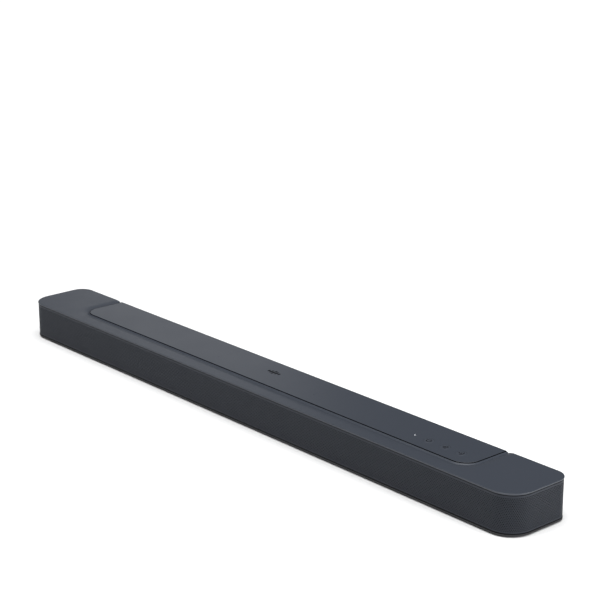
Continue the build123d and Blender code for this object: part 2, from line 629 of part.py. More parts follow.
with BuildPart() as front_baffle:
    with BuildSketch(Plane.XY.offset(FLOOR_Z + FIT)):
        add(front_band(BAFFLE_SET_IN, BAFFLE_SET_IN + BAFFLE_WALL))
    extrude(amount=PLATE_Z - FLOOR_Z - 2 * FIT)
    for shelf_z in (FLOOR_Z + FIT, PLATE_Z - FIT - BAFFLE_SHELF):
        with BuildSketch(Plane.XY.offset(shelf_z)):
            add(front_band(CLOTH_BACK + FIT, BAFFLE_SET_IN))
        extrude(amount=BAFFLE_SHELF)
    for plane in WOOFER_PLANES.values():
        with BuildSketch(plane):
            SlotOverall(BASKET_LENGTH + 2 * FIT, BASKET_HEIGHT + 2 * FIT)
        extrude(amount=-BAFFLE_WALL, mode=Mode.SUBTRACT)
    drill(TWEETER_PLANES.values(), TWEETER_BODY_RADIUS + FIT, BAFFLE_WALL)
    drill(WOOFER_SCREW_PLANES + TWEETER_SCREW_PLANES, PILOT_RADIUS, BAFFLE_WALL)
front_baffle.part.label = "front_baffle"


# ---------------------------------------------------------------- oval woofers
# Each part of a woofer is drawn on a plane at the baffle's face. The plane's normal points forwards,
# so the flange, the roll and the cone's edge lie at positive offsets and the motor at negative ones.
OPEN_LENGTH = BASKET_LENGTH - 2 * BASKET_WALL
OPEN_HEIGHT = BASKET_HEIGHT - 2 * BASKET_WALL
CONE_LENGTH = OPEN_LENGTH - 2 * (SURROUND_WIDTH + CONE_CLEARANCE)
CONE_HEIGHT = OPEN_HEIGHT - 2 * (SURROUND_WIDTH + CONE_CLEARANCE)
COIL_OUTER = COIL_RADIUS + COIL_SHEET / 2
COIL_INNER = COIL_RADIUS - COIL_SHEET / 2
COIL_LENGTH = WOOFER_FLANGE - CONE_DEPTH + BASKET_DEPTH + COIL_IN_GAP


def oval_tube(plane, outer_length, outer_height, wall, amount, mode=Mode.ADD):
    """An oval tube of that wall, added to the part being built or cut from it."""
    with BuildSketch(plane) as ring:
        SlotOverall(outer_length, outer_height)
        SlotOverall(outer_length - 2 * wall, outer_height - 2 * wall, mode=Mode.SUBTRACT)
    extrude(ring.sketch, amount=amount, mode=mode)


def turning_plane(plane):
    """A plane through a driver's axis: its X is the radius and its Y points out of the driver."""
    return Plane(plane.origin, plane.x_dir, -plane.y_dir)


def dome_profile(plane, radius, rise, sheet):
    """Half of a thin dome's section, to be turned round the driver's axis."""
    with BuildSketch(turning_plane(plane)) as profile:
        with BuildLine():
            sphere = (radius**2 + rise**2) / (2 * rise)
            inner_rise = rise - sheet
            inner_sphere = ((radius - sheet) ** 2 + inner_rise**2) / (2 * inner_rise)
            RadiusArc((0, rise), (radius, 0), sphere)
            Line((radius, 0), (radius - sheet, 0))
            RadiusArc((radius - sheet, 0), (0, inner_rise), -inner_sphere)
            Line((0, inner_rise), (0, rise))
        make_face()
    return profile.sketch


def outer_face(builder, plane, place):
    """The built part's face that lies last (-1) or first (0) along the plane's normal."""
    return builder.faces().sort_by(Axis(plane.origin, plane.z_dir))[place]


def woofer_basket(plane):
    with BuildPart() as basket:
        with BuildSketch(plane):
            RectangleRounded(WOOFER_LENGTH, WOOFER_HEIGHT, WOOFER_CORNER)
        extrude(amount=WOOFER_FLANGE)
        with BuildSketch(plane):
            SlotOverall(BASKET_LENGTH, BASKET_HEIGHT)
        extrude(amount=-BASKET_DEPTH)
        with BuildSketch(plane.offset(WOOFER_FLANGE)):
            SlotOverall(OPEN_LENGTH, OPEN_HEIGHT)
        extrude(amount=-(WOOFER_FLANGE + BASKET_DEPTH - BASKET_WALL), mode=Mode.SUBTRACT)
        drill([plane.offset(BASKET_WALL - BASKET_DEPTH)], COIL_OUTER + MOTOR_GAP_CLEARANCE, BASKET_WALL)
        # windows through the long walls let the back of the cone breathe
        window_middle = plane.offset(-(BAFFLE_WALL + BASKET_DEPTH) / 2)
        with BuildSketch(Plane(window_middle.origin, plane.x_dir, plane.y_dir)):
            with GridLocations(BASKET_WINDOW_PITCH, 0, 2, 1):
                RectangleRounded(BASKET_WINDOW[0], BASKET_WINDOW[1], BASKET_WALL)
        extrude(amount=WOOFER_HEIGHT / 2, both=True, mode=Mode.SUBTRACT)
        screws = corner_planes(
            plane.offset(WOOFER_FLANGE),
            WOOFER_LENGTH - WOOFER_SCREW_EDGE,
            WOOFER_HEIGHT - WOOFER_SCREW_EDGE,
        )
        drill(screws, SCREW_HOLE_RADIUS, WOOFER_FLANGE)
    return basket


def woofer_surround(plane):
    """A rubber ring: a flat land glued on the flange and a hollow half-roll inside it."""
    with BuildPart() as surround:
        face = plane.offset(WOOFER_FLANGE)
        oval_tube(face, OPEN_LENGTH, OPEN_HEIGHT, SURROUND_WIDTH, SURROUND_ROLL)
        fillet(outer_face(surround, plane, -1).edges(), SURROUND_ROUND)
        oval_tube(
            face,
            OPEN_LENGTH + 2 * SURROUND_OVERLAP,
            OPEN_HEIGHT + 2 * SURROUND_OVERLAP,
            SURROUND_OVERLAP + SURROUND_SHEET,
            SURROUND_SHEET,
        )
        oval_tube(
            face,
            OPEN_LENGTH - 2 * SURROUND_SHEET,
            OPEN_HEIGHT - 2 * SURROUND_SHEET,
            SURROUND_WIDTH - 2 * SURROUND_SHEET,
            SURROUND_ROLL - 2 * SURROUND_SHEET,
            mode=Mode.SUBTRACT,
        )
    return surround


def woofer_motor(plane):
    """A magnet pot with a ring-shaped gap for the coil."""
    with BuildPart() as motor:
        back = plane.offset(-BASKET_DEPTH)
        with BuildSketch(back):
            Circle(MOTOR_RADIUS)
        extrude(amount=-MOTOR_DEPTH)
        chamfer(outer_face(motor, plane, 0).edges(), MOTOR_CHAMFER)
        with BuildSketch(back):
            Circle(COIL_OUTER + MOTOR_GAP_CLEARANCE)
            Circle(COIL_INNER - MOTOR_GAP_CLEARANCE, mode=Mode.SUBTRACT)
        extrude(amount=-MOTOR_GAP_DEPTH, mode=Mode.SUBTRACT)
    return motor


def woofer_cone(plane):
    """The oval cone with its dust cap and the coil's tube, which move together."""
    edge = plane.offset(WOOFER_FLANGE)
    neck = edge.offset(-CONE_DEPTH)
    with BuildPart() as cone:
        with BuildSketch(edge):
            SlotOverall(CONE_LENGTH, CONE_HEIGHT)
        extrude(amount=CONE_SHEET)
        with BuildSketch(edge):
            SlotOverall(CONE_LENGTH, CONE_HEIGHT)
        with BuildSketch(neck):
            SlotOverall(2 * COIL_OUTER + CONE_SPREAD, 2 * COIL_OUTER)
        loft(ruled=True)
        with BuildSketch(edge.offset(CONE_SHEET)):
            SlotOverall(CONE_LENGTH - 2 * CONE_EDGE, CONE_HEIGHT - 2 * CONE_EDGE)
        with BuildSketch(neck.offset(CONE_SHEET)):
            SlotOverall(2 * (COIL_OUTER - CONE_SHEET) + CONE_SPREAD, 2 * (COIL_OUTER - CONE_SHEET))
        loft(ruled=True, mode=Mode.SUBTRACT)
        with BuildSketch(neck):
            Circle(COIL_OUTER)
            Circle(COIL_INNER, mode=Mode.SUBTRACT)
        extrude(amount=-COIL_LENGTH)
        cap_plane = neck.offset(CONE_SHEET)
        cap = dome_profile(cap_plane, CAP_RADIUS, DUST_CAP_RISE, CAP_SHEET)
        revolve(cap, Axis(plane.origin, plane.z_dir))
    return cone


# ---------------------------------------------------------------- dome tweeters
def tweeter_housing(plane):
    with BuildPart() as housing:
        with BuildSketch(plane):
            Circle(TWEETER_RADIUS)
        extrude(amount=TWEETER_FLANGE)
        with BuildSketch(plane):
            Circle(TWEETER_BODY_RADIUS)
        extrude(amount=-TWEETER_BODY_DEPTH)
        face = plane.offset(TWEETER_FLANGE)
        drill([face], DOME_RADIUS + DOME_CLEARANCE, DOME_WELL)
        mouth = outer_face(housing, plane, -1).edges().sort_by(SortBy.RADIUS)[0]
        chamfer(mouth, HORN_FLARE)
        screws = corner_planes(face, TWEETER_SCREW_SPACING, TWEETER_SCREW_SPACING)
        drill(screws, SCREW_HOLE_RADIUS, TWEETER_FLANGE)
    return housing


def tweeter_dome(plane):
    """A soft dome on a short skirt."""
    base = plane.offset(TWEETER_FLANGE - DOME_RISE)
    with BuildPart() as dome:
        revolve(dome_profile(base, DOME_RADIUS, DOME_RISE, DOME_SHEET), Axis(plane.origin, plane.z_dir))
        with BuildSketch(base):
            Circle(DOME_RADIUS)
            Circle(DOME_RADIUS - DOME_SHEET, mode=Mode.SUBTRACT)
        extrude(amount=-DOME_SKIRT)
    return dome


# ---------------------------------------------------------------- screws, inserts and feet
def slotted_screws(planes, length):
    """One solid for each screw. A plane lies under the head and its normal points out of it."""
    with BuildPart() as screws:
        for plane in planes:
            with BuildSketch(plane) as shank:
                Circle(SCREW_RADIUS)
            extrude(shank.sketch, amount=-length)
            with BuildSketch(plane) as head:
                Circle(SCREW_HEAD_RADIUS)
            extrude(head.sketch, amount=SCREW_HEAD_HEIGHT)
            with BuildSketch(plane.offset(SCREW_HEAD_HEIGHT)) as cross:
                Rectangle(DRIVE_LENGTH, DRIVE_SLOT)
                Rectangle(DRIVE_SLOT, DRIVE_LENGTH)
            extrude(cross.sketch, amount=-DRIVE_DEPTH, mode=Mode.SUBTRACT)
    return screws


def wall_insert(plane):
    with BuildPart() as insert:
        with BuildSketch(plane):
            Circle(INSERT_RADIUS)
            Circle(INSERT_BORE_RADIUS, mode=Mode.SUBTRACT)
        extrude(amount=-INSERT_LENGTH)
    return insert


def rubber_foot(x, y):
    with BuildPart() as foot:
        with BuildSketch(Plane((x, y, 0))):
            SlotOverall(FOOT_LENGTH, FOOT_WIDTH)
        extrude(amount=BASE_Z + FOOT_POCKET)
        fillet(foot.faces().sort_by(Axis.Z)[0].edges(), FOOT_ROUND)
    return foot


# ---------------------------------------------------------------- buttons, light and key board
def push_button(x):
    """A round key: its cap fills the panel's hole, a flange keeps it in, a stem meets the switch."""
    flange_top = PANEL_LOW_Z - BUTTON_STOP_GAP
    stem_end = KEY_BOARD_Z + SWITCH_HEIGHT + BUTTON_TRAVEL + BUTTON_STOP_GAP
    with BuildPart() as button:
        with BuildSketch(Plane((x, BUTTON_Y, flange_top))):
            Circle(BUTTON_RADIUS)
        extrude(amount=PANEL_TOP_Z - flange_top)
        fillet(button.faces().sort_by(Axis.Z)[-1].edges(), BUTTON_ROUND)
        with BuildSketch(Plane((x, BUTTON_Y, flange_top))):
            Circle(BUTTON_RADIUS + BUTTON_FLANGE)
        extrude(amount=-BUTTON_FLANGE_SHEET)
        with BuildSketch(Plane((x, BUTTON_Y, flange_top - BUTTON_FLANGE_SHEET))):
            Circle(BUTTON_STEM_RADIUS)
        extrude(amount=stem_end - flange_top + BUTTON_FLANGE_SHEET)
    return button


with BuildPart() as key_board:
    with BuildSketch(Plane((KEY_MIDDLE_X, BUTTON_Y, KEY_BOARD_Z))):
        Rectangle(KEY_BOSS_SPACING + 2 * STANDOFF_RADIUS, 2 * (BUTTON_RADIUS + BUTTON_FLANGE))
    extrude(amount=-BOARD_SHEET)
    with BuildSketch(Plane.XY.offset(KEY_BOARD_Z)):
        with Locations(*[(x, BUTTON_Y) for x in BUTTON_X.values()]):
            Rectangle(SWITCH_SIDE, SWITCH_SIDE)
    extrude(amount=SWITCH_HEIGHT - SWITCH_PLUNGER)
    with BuildSketch(Plane.XY.offset(KEY_BOARD_Z)):
        with Locations(*[(x, BUTTON_Y) for x in BUTTON_X.values()]):
            Circle(SWITCH_PLUNGER_RADIUS)
    extrude(amount=SWITCH_HEIGHT)
    with BuildSketch(Plane((LIGHT_X, BUTTON_Y, KEY_BOARD_Z))):
        Rectangle(2 * LED_HEIGHT, LED_HEIGHT)
    extrude(amount=LED_HEIGHT)
    drill(KEY_SCREW_PLANES, SCREW_HOLE_RADIUS, BOARD_SHEET)
key_board.part.label = "key_board"

with BuildPart() as status_light:
    with BuildSketch(Plane((LIGHT_X, BUTTON_Y, KEY_BOARD_Z + LED_HEIGHT))):
        Circle(LIGHT_RADIUS)
    extrude(amount=PANEL_TOP_Z - KEY_BOARD_Z - LED_HEIGHT)
status_light.part.label = "status_light"


# ---------------------------------------------------------------- sockets
def socket_mouth(name):
    """A rear-facing plane at the middle of a socket's mouth. It stands a little proud in its bay."""
    return rear_facing(SOCKET_X[name], BAY_FACE_Y + SOCKET_PROUD, BOARD_TOP_Z + SOCKET_OUTER[name][1] / 2)


def hdmi_socket(plane):
    """A steel shell with two cut corners below, a back wall and a flat contact tongue."""
    with BuildPart() as socket:
        with BuildSketch(plane):
            Rectangle(HDMI_OPENING[0] + 2 * HDMI_SHELL, HDMI_OPENING[1] + 2 * HDMI_SHELL)
        extrude(amount=-HDMI_DEPTH)
        with BuildSketch(plane) as opening:
            Rectangle(HDMI_OPENING[0], HDMI_OPENING[1])
            chamfer(opening.vertices().group_by(Axis.Y)[0], HDMI_CHAMFER)
        extrude(amount=-(HDMI_DEPTH - SOCKET_BACK), mode=Mode.SUBTRACT)
        with BuildSketch(plane.offset(-TONGUE_SET_BACK)):
            Rectangle(HDMI_TONGUE[0], HDMI_TONGUE[1])
        extrude(amount=-(HDMI_DEPTH - TONGUE_SET_BACK))
    return socket


def usb_socket_shell(plane):
    with BuildPart() as socket:
        with BuildSketch(plane):
            Rectangle(USB_OPENING[0] + 2 * USB_SHELL, USB_OPENING[1] + 2 * USB_SHELL)
        extrude(amount=-USB_DEPTH)
        with BuildSketch(plane):
            Rectangle(USB_OPENING[0], USB_OPENING[1])
        extrude(amount=-(USB_DEPTH - SOCKET_BACK), mode=Mode.SUBTRACT)
        with BuildSketch(plane.offset(-TONGUE_SET_BACK)):
            with Locations((0, (USB_OPENING[1] - USB_TONGUE[1]) / 2 - USB_SHELL)):
                Rectangle(USB_TONGUE[0], USB_TONGUE[1])
        extrude(amount=-(USB_DEPTH - TONGUE_SET_BACK))
    return socket


OPTICAL_PLANE = socket_mouth("optical")
MOUTH_LOW = OPTICAL_FLOOR - OPTICAL_BODY[1] / 2
MOUTH_HIGH = MOUTH_LOW + OPTICAL_MOUTH
SHUTTER_PIN_Y = MOUTH_HIGH + OPTICAL_RECESS / 2
SHUTTER_PIN_DEPTH = OPTICAL_LIP + SHUTTER_GAP + SHUTTER_SHEET / 2

with BuildPart() as optical_socket:
    with BuildSketch(OPTICAL_PLANE):
        Rectangle(OPTICAL_BODY[0], OPTICAL_BODY[1])
    extrude(amount=-OPTICAL_DEPTH)
    with BuildSketch(OPTICAL_PLANE):
        with Locations((0, (MOUTH_LOW + MOUTH_HIGH) / 2)):
            Rectangle(OPTICAL_MOUTH, OPTICAL_MOUTH)
    extrude(amount=-OPTICAL_LIP, mode=Mode.SUBTRACT)
    with BuildSketch(OPTICAL_PLANE.offset(-OPTICAL_LIP)):
        with Locations((0, (MOUTH_LOW + MOUTH_HIGH + OPTICAL_RECESS) / 2)):
            Rectangle(OPTICAL_MOUTH, OPTICAL_MOUTH + OPTICAL_RECESS)
    extrude(amount=-OPTICAL_CAVITY_DEPTH, mode=Mode.SUBTRACT)
    pin_point = OPTICAL_PLANE.from_local_coords(Vector(0, SHUTTER_PIN_Y, -SHUTTER_PIN_DEPTH))
    with BuildSketch(Plane(pin_point, OPTICAL_PLANE.y_dir, OPTICAL_PLANE.x_dir)):
        Circle(SHUTTER_PIN_RADIUS + SHUTTER_PIN_CLEARANCE)
    extrude(amount=OPTICAL_MOUTH / 2 + SHUTTER_PIN_LENGTH, both=True, mode=Mode.SUBTRACT)
optical_socket.part.label = "optical_socket"

with BuildPart() as optical_shutter:
    shutter_width = OPTICAL_MOUTH - 2 * SHUTTER_GAP
    with BuildSketch(OPTICAL_PLANE.offset(-OPTICAL_LIP - SHUTTER_GAP)):
        with Locations((0, (MOUTH_LOW + SHUTTER_GAP + SHUTTER_PIN_Y) / 2)):
            Rectangle(shutter_width, SHUTTER_PIN_Y - MOUTH_LOW - SHUTTER_GAP)
    extrude(amount=-SHUTTER_SHEET)
    with BuildSketch(Plane(pin_point, OPTICAL_PLANE.y_dir, OPTICAL_PLANE.x_dir)):
        Circle(SHUTTER_SHEET / 2)
    extrude(amount=shutter_width / 2, both=True)
    with BuildSketch(Plane(pin_point, OPTICAL_PLANE.y_dir, OPTICAL_PLANE.x_dir)):
        Circle(SHUTTER_PIN_RADIUS)
    extrude(amount=OPTICAL_MOUTH / 2 + SHUTTER_PIN_LENGTH - SHUTTER_GAP, both=True)
optical_shutter.part.label = "optical_shutter"

INLET_PLANE = socket_mouth("power")
with BuildPart() as power_inlet:
    with BuildSketch(INLET_PLANE):
        RectangleRounded(INLET_BODY[0], INLET_BODY[1], INLET_CORNER)
    extrude(amount=-INLET_DEPTH)
    with BuildSketch(INLET_PLANE):
        with GridLocations(INLET_MOUTH[0] - INLET_MOUTH[1], 0, 2, 1):
            Circle(INLET_MOUTH[1] / 2)
        Rectangle(INLET_MOUTH[0] - INLET_MOUTH[1], INLET_WAIST)
    extrude(amount=-INLET_CAVITY_DEPTH, mode=Mode.SUBTRACT)
    with BuildSketch(INLET_PLANE.offset(-INLET_CAVITY_DEPTH)):
        with GridLocations(INLET_PIN_SPACING, 0, 2, 1):
            Circle(INLET_PIN_RADIUS)
    extrude(amount=INLET_CAVITY_DEPTH - INLET_PIN_SET_BACK)
power_inlet.part.label = "power_inlet"


# ---------------------------------------------------------------- boards and what stands on them
def stand(plane, x, y, size):
    """A box on a board, added to the part being built."""
    with BuildSketch(plane) as foot:
        with Locations((x, y)):
            Rectangle(size[0], size[1])
    extrude(foot.sketch, amount=size[2])


def stand_round(plane, points, radius, height):
    """Cylinders on a board, added to the part being built."""
    with BuildSketch(plane) as feet:
        with Locations(*points):
            Circle(radius)
    extrude(feet.sketch, amount=height)


def bare_board(plane):
    """A circuit board under that plane with its four screw holes, added to the part being built."""
    with BuildSketch(plane) as outline:
        Rectangle(BOARD_LENGTH, BOARD_WIDTH)
    extrude(outline.sketch, amount=-BOARD_SHEET)
    drill(board_screws_on(plane), SCREW_HOLE_RADIUS, BOARD_SHEET)


with BuildPart() as main_board:
    bare_board(MAIN_PLANE)
    stand(MAIN_PLANE, CHIP_X, CHIP_Y, CHIP)
    stand(MAIN_PLANE, SINK_X, CHIP_Y, CHIP)
    for x in RIBBON_X:
        stand(MAIN_PLANE, x, RIBBON_Y, RIBBON_SOCKET)
    stand_round(MAIN_PLANE, SMALL_CAPACITORS, SMALL_CAPACITOR_RADIUS, SMALL_CAPACITOR_HEIGHT)
main_board.part.label = "main_board"

with BuildPart() as heat_sink:
    sink_z = BOARD_TOP_Z + CHIP[2]
    sink_plane = Plane((BOARD_X + SINK_X, BOARD_MIDDLE_Y + CHIP_Y, sink_z))
    with BuildSketch(sink_plane):
        Rectangle(SINK_SIZE[0], SINK_SIZE[1])
    extrude(amount=SINK_BASE)
    with BuildSketch(sink_plane.offset(SINK_BASE)):
        with GridLocations((SINK_SIZE[0] - SINK_FIN_SHEET) / (SINK_FINS - 1), 0, SINK_FINS, 1):
            Rectangle(SINK_FIN_SHEET, SINK_SIZE[1])
    extrude(amount=SINK_SIZE[2] - SINK_BASE)
heat_sink.part.label = "heat_sink"

with BuildPart() as power_board:
    bare_board(POWER_PLANE)
    stand(POWER_PLANE, TRANSFORMER_X, CHIP_Y, TRANSFORMER)
    stand_round(POWER_PLANE, CAPACITORS, CAPACITOR_RADIUS, CAPACITOR_HEIGHT)
    stand_round(POWER_PLANE, [(CHOKE_X, CHIP_Y)], CHOKE_RADIUS, CHOKE_HEIGHT)
    for x in RIBBON_X:
        stand(POWER_PLANE, x, RIBBON_Y, RIBBON_SOCKET)
power_board.part.label = "power_board"


def microphone_board(x):
    """A small board glued under the deck, with the microphone's can hanging from it."""
    with BuildPart() as board:
        with BuildSketch(down_facing(x, BUTTON_Y, DECK_Z)):
            Rectangle(MIC_BOARD[0], MIC_BOARD[1])
            Circle(MIC_HOLE_RADIUS, mode=Mode.SUBTRACT)
        extrude(amount=MIC_BOARD[2])
        with BuildSketch(down_facing(x, BUTTON_Y, DECK_Z - MIC_BOARD[2])):
            Rectangle(MIC_CAN[0], MIC_CAN[1])
        extrude(amount=MIC_CAN[2])
    return board


with BuildPart() as antenna_board:
    with BuildSketch(Plane((LENGTH / 2 - ANTENNA_FROM_END, ANTENNA_Y, PLATE_Z))):
        Rectangle(ANTENNA[0], ANTENNA[1])
    extrude(amount=-ANTENNA[2])
antenna_board.part.label = "antenna_board"

with BuildPart() as display_board:
    with BuildSketch(front_facing(BOARD_X, BAFFLE_FACE_Y, BAFFLE_MID_Z)):
        RectangleRounded(DISPLAY_BOARD[0], DISPLAY_BOARD[1], DISPLAY_CORNER)
    extrude(amount=DISPLAY_BOARD[2])
display_board.part.label = "display_board"

with BuildPart() as display_window:
    with BuildSketch(front_facing(BOARD_X, BAFFLE_FACE_Y - DISPLAY_BOARD[2], BAFFLE_MID_Z)):
        RectangleRounded(DISPLAY_WINDOW[0], DISPLAY_WINDOW[1], DISPLAY_CORNER)
    extrude(amount=DISPLAY_WINDOW[2])
display_window.part.label = "display_window"

# ---------------------------------------------------------------- repeated pieces, each a solid of its own
repeated = {
    "hdmi_in_socket": hdmi_socket(socket_mouth("hdmi_in")),
    "hdmi_out_socket": hdmi_socket(socket_mouth("hdmi_out")),
    "usb_socket": usb_socket_shell(socket_mouth("usb")),
    "cover_screws": slotted_screws(
        [down_facing(x, y, POST_LOW_Z - POST_WEB) for x, y in POST_POINTS],
        POST_WEB + POST_TOP_Z - POST_LOW_Z + POST_SCREW_BITE,
    ),
    "driver_screws": slotted_screws(
        [plane.offset(WOOFER_FLANGE) for plane in WOOFER_SCREW_PLANES]
        + [plane.offset(TWEETER_FLANGE) for plane in TWEETER_SCREW_PLANES],
        WOOFER_FLANGE + BAFFLE_WALL,
    ),
    "board_screws": slotted_screws(BOARD_SCREW_PLANES + KEY_SCREW_PLANES, BOARD_SCREW_LENGTH),
}
for name, plane in WOOFER_PLANES.items():
    repeated[name + "_basket"] = woofer_basket(plane)
    repeated[name + "_surround"] = woofer_surround(plane)
    repeated[name + "_motor"] = woofer_motor(plane)
    repeated[name + "_cone"] = woofer_cone(plane)
for name, plane in TWEETER_PLANES.items():
    repeated[name + "_housing"] = tweeter_housing(plane)
    repeated[name + "_dome"] = tweeter_dome(plane)
for name, (middle_x, width) in BAYS.items():
    repeated[name] = connector_bay(middle_x, width)
for name, plane in INSERT_PLANES.items():
    repeated[name] = wall_insert(plane)
for name, x in BUTTON_X.items():
    repeated[name] = push_button(x)
for name, side in (("left", -1), ("right", 1)):
    repeated[name + "_microphone_board"] = microphone_board(side * MIC_HOLE_X)
for name, (x, y) in FOOT_POINTS.items():
    repeated[name] = rubber_foot(x, y)
for name, piece in repeated.items():
    piece.part.label = name

single = [
    bottom_cover,
    cover_spacers,
    top_cover,
    rear_cover,
    control_panel,
    front_grille,
    grille_cloth,
    front_baffle,
    key_board,
    status_light,
    optical_socket,
    optical_shutter,
    power_inlet,
    main_board,
    heat_sink,
    power_board,
    antenna_board,
    display_board,
    display_window,
]

os.makedirs("parts", exist_ok=True)
for piece in single + list(repeated.values()):
    export_step(piece.part, f"parts/{piece.part.label}.step")
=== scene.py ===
"""The looks of a long, low television soundbar, built round its CAD frame.

The CAD nodes give every size and place. This script gives each of them its finish and adds what the CAD
leaves out: the perforation of the wrap-round grille, the printing on the keys and the panel, the metal
contacts inside the sockets and the marks beside them. Lengths are in metres, +X runs along the bar to the
listener's right, the front faces -Y and +Z is up.
"""

import json
import math

import bpy
import numpy as np
from bpy.props import FloatProperty, FloatVectorProperty, IntProperty, PointerProperty
from mathutils import Matrix, Vector


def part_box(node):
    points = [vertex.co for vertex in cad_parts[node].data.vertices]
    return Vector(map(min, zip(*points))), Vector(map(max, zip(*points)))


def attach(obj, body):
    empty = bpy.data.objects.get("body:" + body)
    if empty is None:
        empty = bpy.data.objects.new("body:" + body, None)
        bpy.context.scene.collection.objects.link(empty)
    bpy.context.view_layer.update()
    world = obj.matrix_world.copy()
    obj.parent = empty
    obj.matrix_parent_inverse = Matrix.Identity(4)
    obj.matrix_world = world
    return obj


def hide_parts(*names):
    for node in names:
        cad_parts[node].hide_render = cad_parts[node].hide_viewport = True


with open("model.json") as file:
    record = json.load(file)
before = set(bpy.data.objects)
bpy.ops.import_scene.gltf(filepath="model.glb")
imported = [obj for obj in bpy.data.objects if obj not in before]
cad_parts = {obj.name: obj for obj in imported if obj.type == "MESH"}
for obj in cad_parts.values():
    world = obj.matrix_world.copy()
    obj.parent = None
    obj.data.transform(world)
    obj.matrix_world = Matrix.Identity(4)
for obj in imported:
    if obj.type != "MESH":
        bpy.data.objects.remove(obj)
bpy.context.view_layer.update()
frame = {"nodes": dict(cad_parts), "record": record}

bl_info = {
    "name": "Soundbar",
    "version": (1, 0, 0),
    "blender": (4, 5, 0),
    "location": "3D View > Sidebar > Soundbar",
    "description": "Finishes and fine detail for a wrap-round television soundbar",
    "category": "Object",
}

MM = 0.001


# ---------------------------------------------------------------- colours and shader nodes
def linear(hex_colour):
    """An sRGB hex colour as linear red, green, blue and alpha."""
    channels = [int(hex_colour[k : k + 2], 16) / 255 for k in (1, 3, 5)]
    return tuple(c / 12.92 if c <= 0.04045 else ((c + 0.055) / 1.055) ** 2.4 for c in channels) + (1.0,)


def add_node(material, kind, settings=(), links=()):
    """Adds a shader node. settings fills its sockets or properties, links gives a socket its source."""
    made = material.node_tree.nodes.new(kind)
    for name, value in dict(settings).items():
        if isinstance(name, int) or name in made.inputs:
            made.inputs[name].default_value = value
        else:
            setattr(made, name, value)
    for name, (source, output) in dict(links).items():
        material.node_tree.links.new(source.outputs[output], made.inputs[name])
    return made


def new_material(name, **shader):
    """A material with one Principled shader, whose constant values are given by name with _ for a space."""
    material = bpy.data.materials.new(name)
    material.use_nodes = True
    material.node_tree.nodes.clear()
    settings = {key.replace("_", " ").title().replace("Ior", "IOR"): value for key, value in shader.items()}
    principled = add_node(material, "ShaderNodeBsdfPrincipled", settings)
    add_node(material, "ShaderNodeOutputMaterial", links={"Surface": (principled, "BSDF")})
    material.diffuse_color = principled.inputs["Base Color"].default_value
    return material, principled


def object_place(material):
    """The surface point in the bar's own frame."""
    return (add_node(material, "ShaderNodeTexCoord"), "Object")


def mottle(material, principled, place, grain, dark, light):
    """Colour that drifts between two shades in patches about one grain across."""
    noise = add_node(
        material,
        "ShaderNodeTexNoise",
        {"Scale": 1 / grain, "Detail": 4.0, "Roughness": 0.6},
        {"Vector": place},
    )
    ramp = add_node(material, "ShaderNodeValToRGB", links={"Fac": (noise, "Fac")})
    ramp.color_ramp.elements[0].position = 0.35
    ramp.color_ramp.elements[0].color = linear(dark)
    ramp.color_ramp.elements[1].position = 0.65
    ramp.color_ramp.elements[1].color = linear(light)
    material.node_tree.links.new(ramp.outputs["Color"], principled.inputs["Base Color"])
    return noise


def emboss(material, principled, height, depth):
    """Tilts the surface as if height, from 0 to 1, stood out by depth metres."""
    bump = add_node(material, "ShaderNodeBump", {"Distance": depth}, {"Height": height})
    material.node_tree.links.new(bump.outputs["Normal"], principled.inputs["Normal"])


def vary_roughness(material, principled, source, low, high):
    """Roughness that follows a pattern between low and high."""
    spread = add_node(material, "ShaderNodeMapRange", {"To Min": low, "To Max": high}, {"Value": source})
    material.node_tree.links.new(spread.outputs["Result"], principled.inputs["Roughness"])


def grain(material, place, size, detail=2.0):
    """Fine random relief with bumps about size metres across."""
    settings = {"Scale": 1 / size, "Detail": detail}
    return (add_node(material, "ShaderNodeTexNoise", settings, {"Vector": place}), "Fac")


def weave(material, place, thread):
    """Two sets of crossing threads, thread metres apart: one follows the height, one the plan."""
    axes = add_node(material, "ShaderNodeSeparateXYZ", links={"Vector": place})
    along = add_node(material, "ShaderNodeMath", {"operation": "ADD"}, {0: (axes, "X"), 1: (axes, "Y")})
    turns = 2 * math.pi / thread
    waves = []
    for source in ((along, 0), (axes, "Z")):
        phase = add_node(material, "ShaderNodeMath", {"operation": "MULTIPLY", 1: turns}, {0: source})
        waves.append(add_node(material, "ShaderNodeMath", {"operation": "SINE"}, {0: (phase, 0)}))
    both = {0: (waves[0], 0), 1: (waves[1], 0)}
    crossing = add_node(material, "ShaderNodeMath", {"operation": "MULTIPLY"}, both)
    halved = {"operation": "MULTIPLY_ADD", 1: 0.5, 2: 0.5}
    return add_node(material, "ShaderNodeMath", halved, {0: (crossing, 0)}), 0


# ---------------------------------------------------------------- finishes of the housing
def spark_eroded_abs(finish):
    """Charcoal ABS from a spark-eroded mould: a fine even grain that keeps its sheen wide and soft."""
    material, principled = new_material(
        "spark_eroded_abs", base_color=finish.cover_colour, ior=1.54, roughness=0.5
    )
    place = object_place(material)
    # the real grain is 0.15 mm; it is drawn at 0.9 mm so that it shows
    relief = grain(material, place, 0.9 * MM)
    emboss(material, principled, relief, 0.012 * MM)
    cloud = grain(material, place, 40 * MM)
    rough = finish.cover_roughness
    vary_roughness(material, principled, cloud, rough - 0.04, rough + 0.04)
    return material


def silk_matt_abs(finish):
    """The inlaid panel's ABS: a finer grain than the cover's, so it mirrors the room a little more."""
    material, principled = new_material(
        "silk_matt_abs", base_color=finish.panel_colour, ior=1.54, roughness=0.42
    )
    place = object_place(material)
    relief = grain(material, place, 0.6 * MM)
    emboss(material, principled, relief, 0.006 * MM)
    cloud = grain(material, place, 60 * MM)
    rough = finish.panel_roughness
    vary_roughness(material, principled, cloud, rough - 0.03, rough + 0.03)
    return material


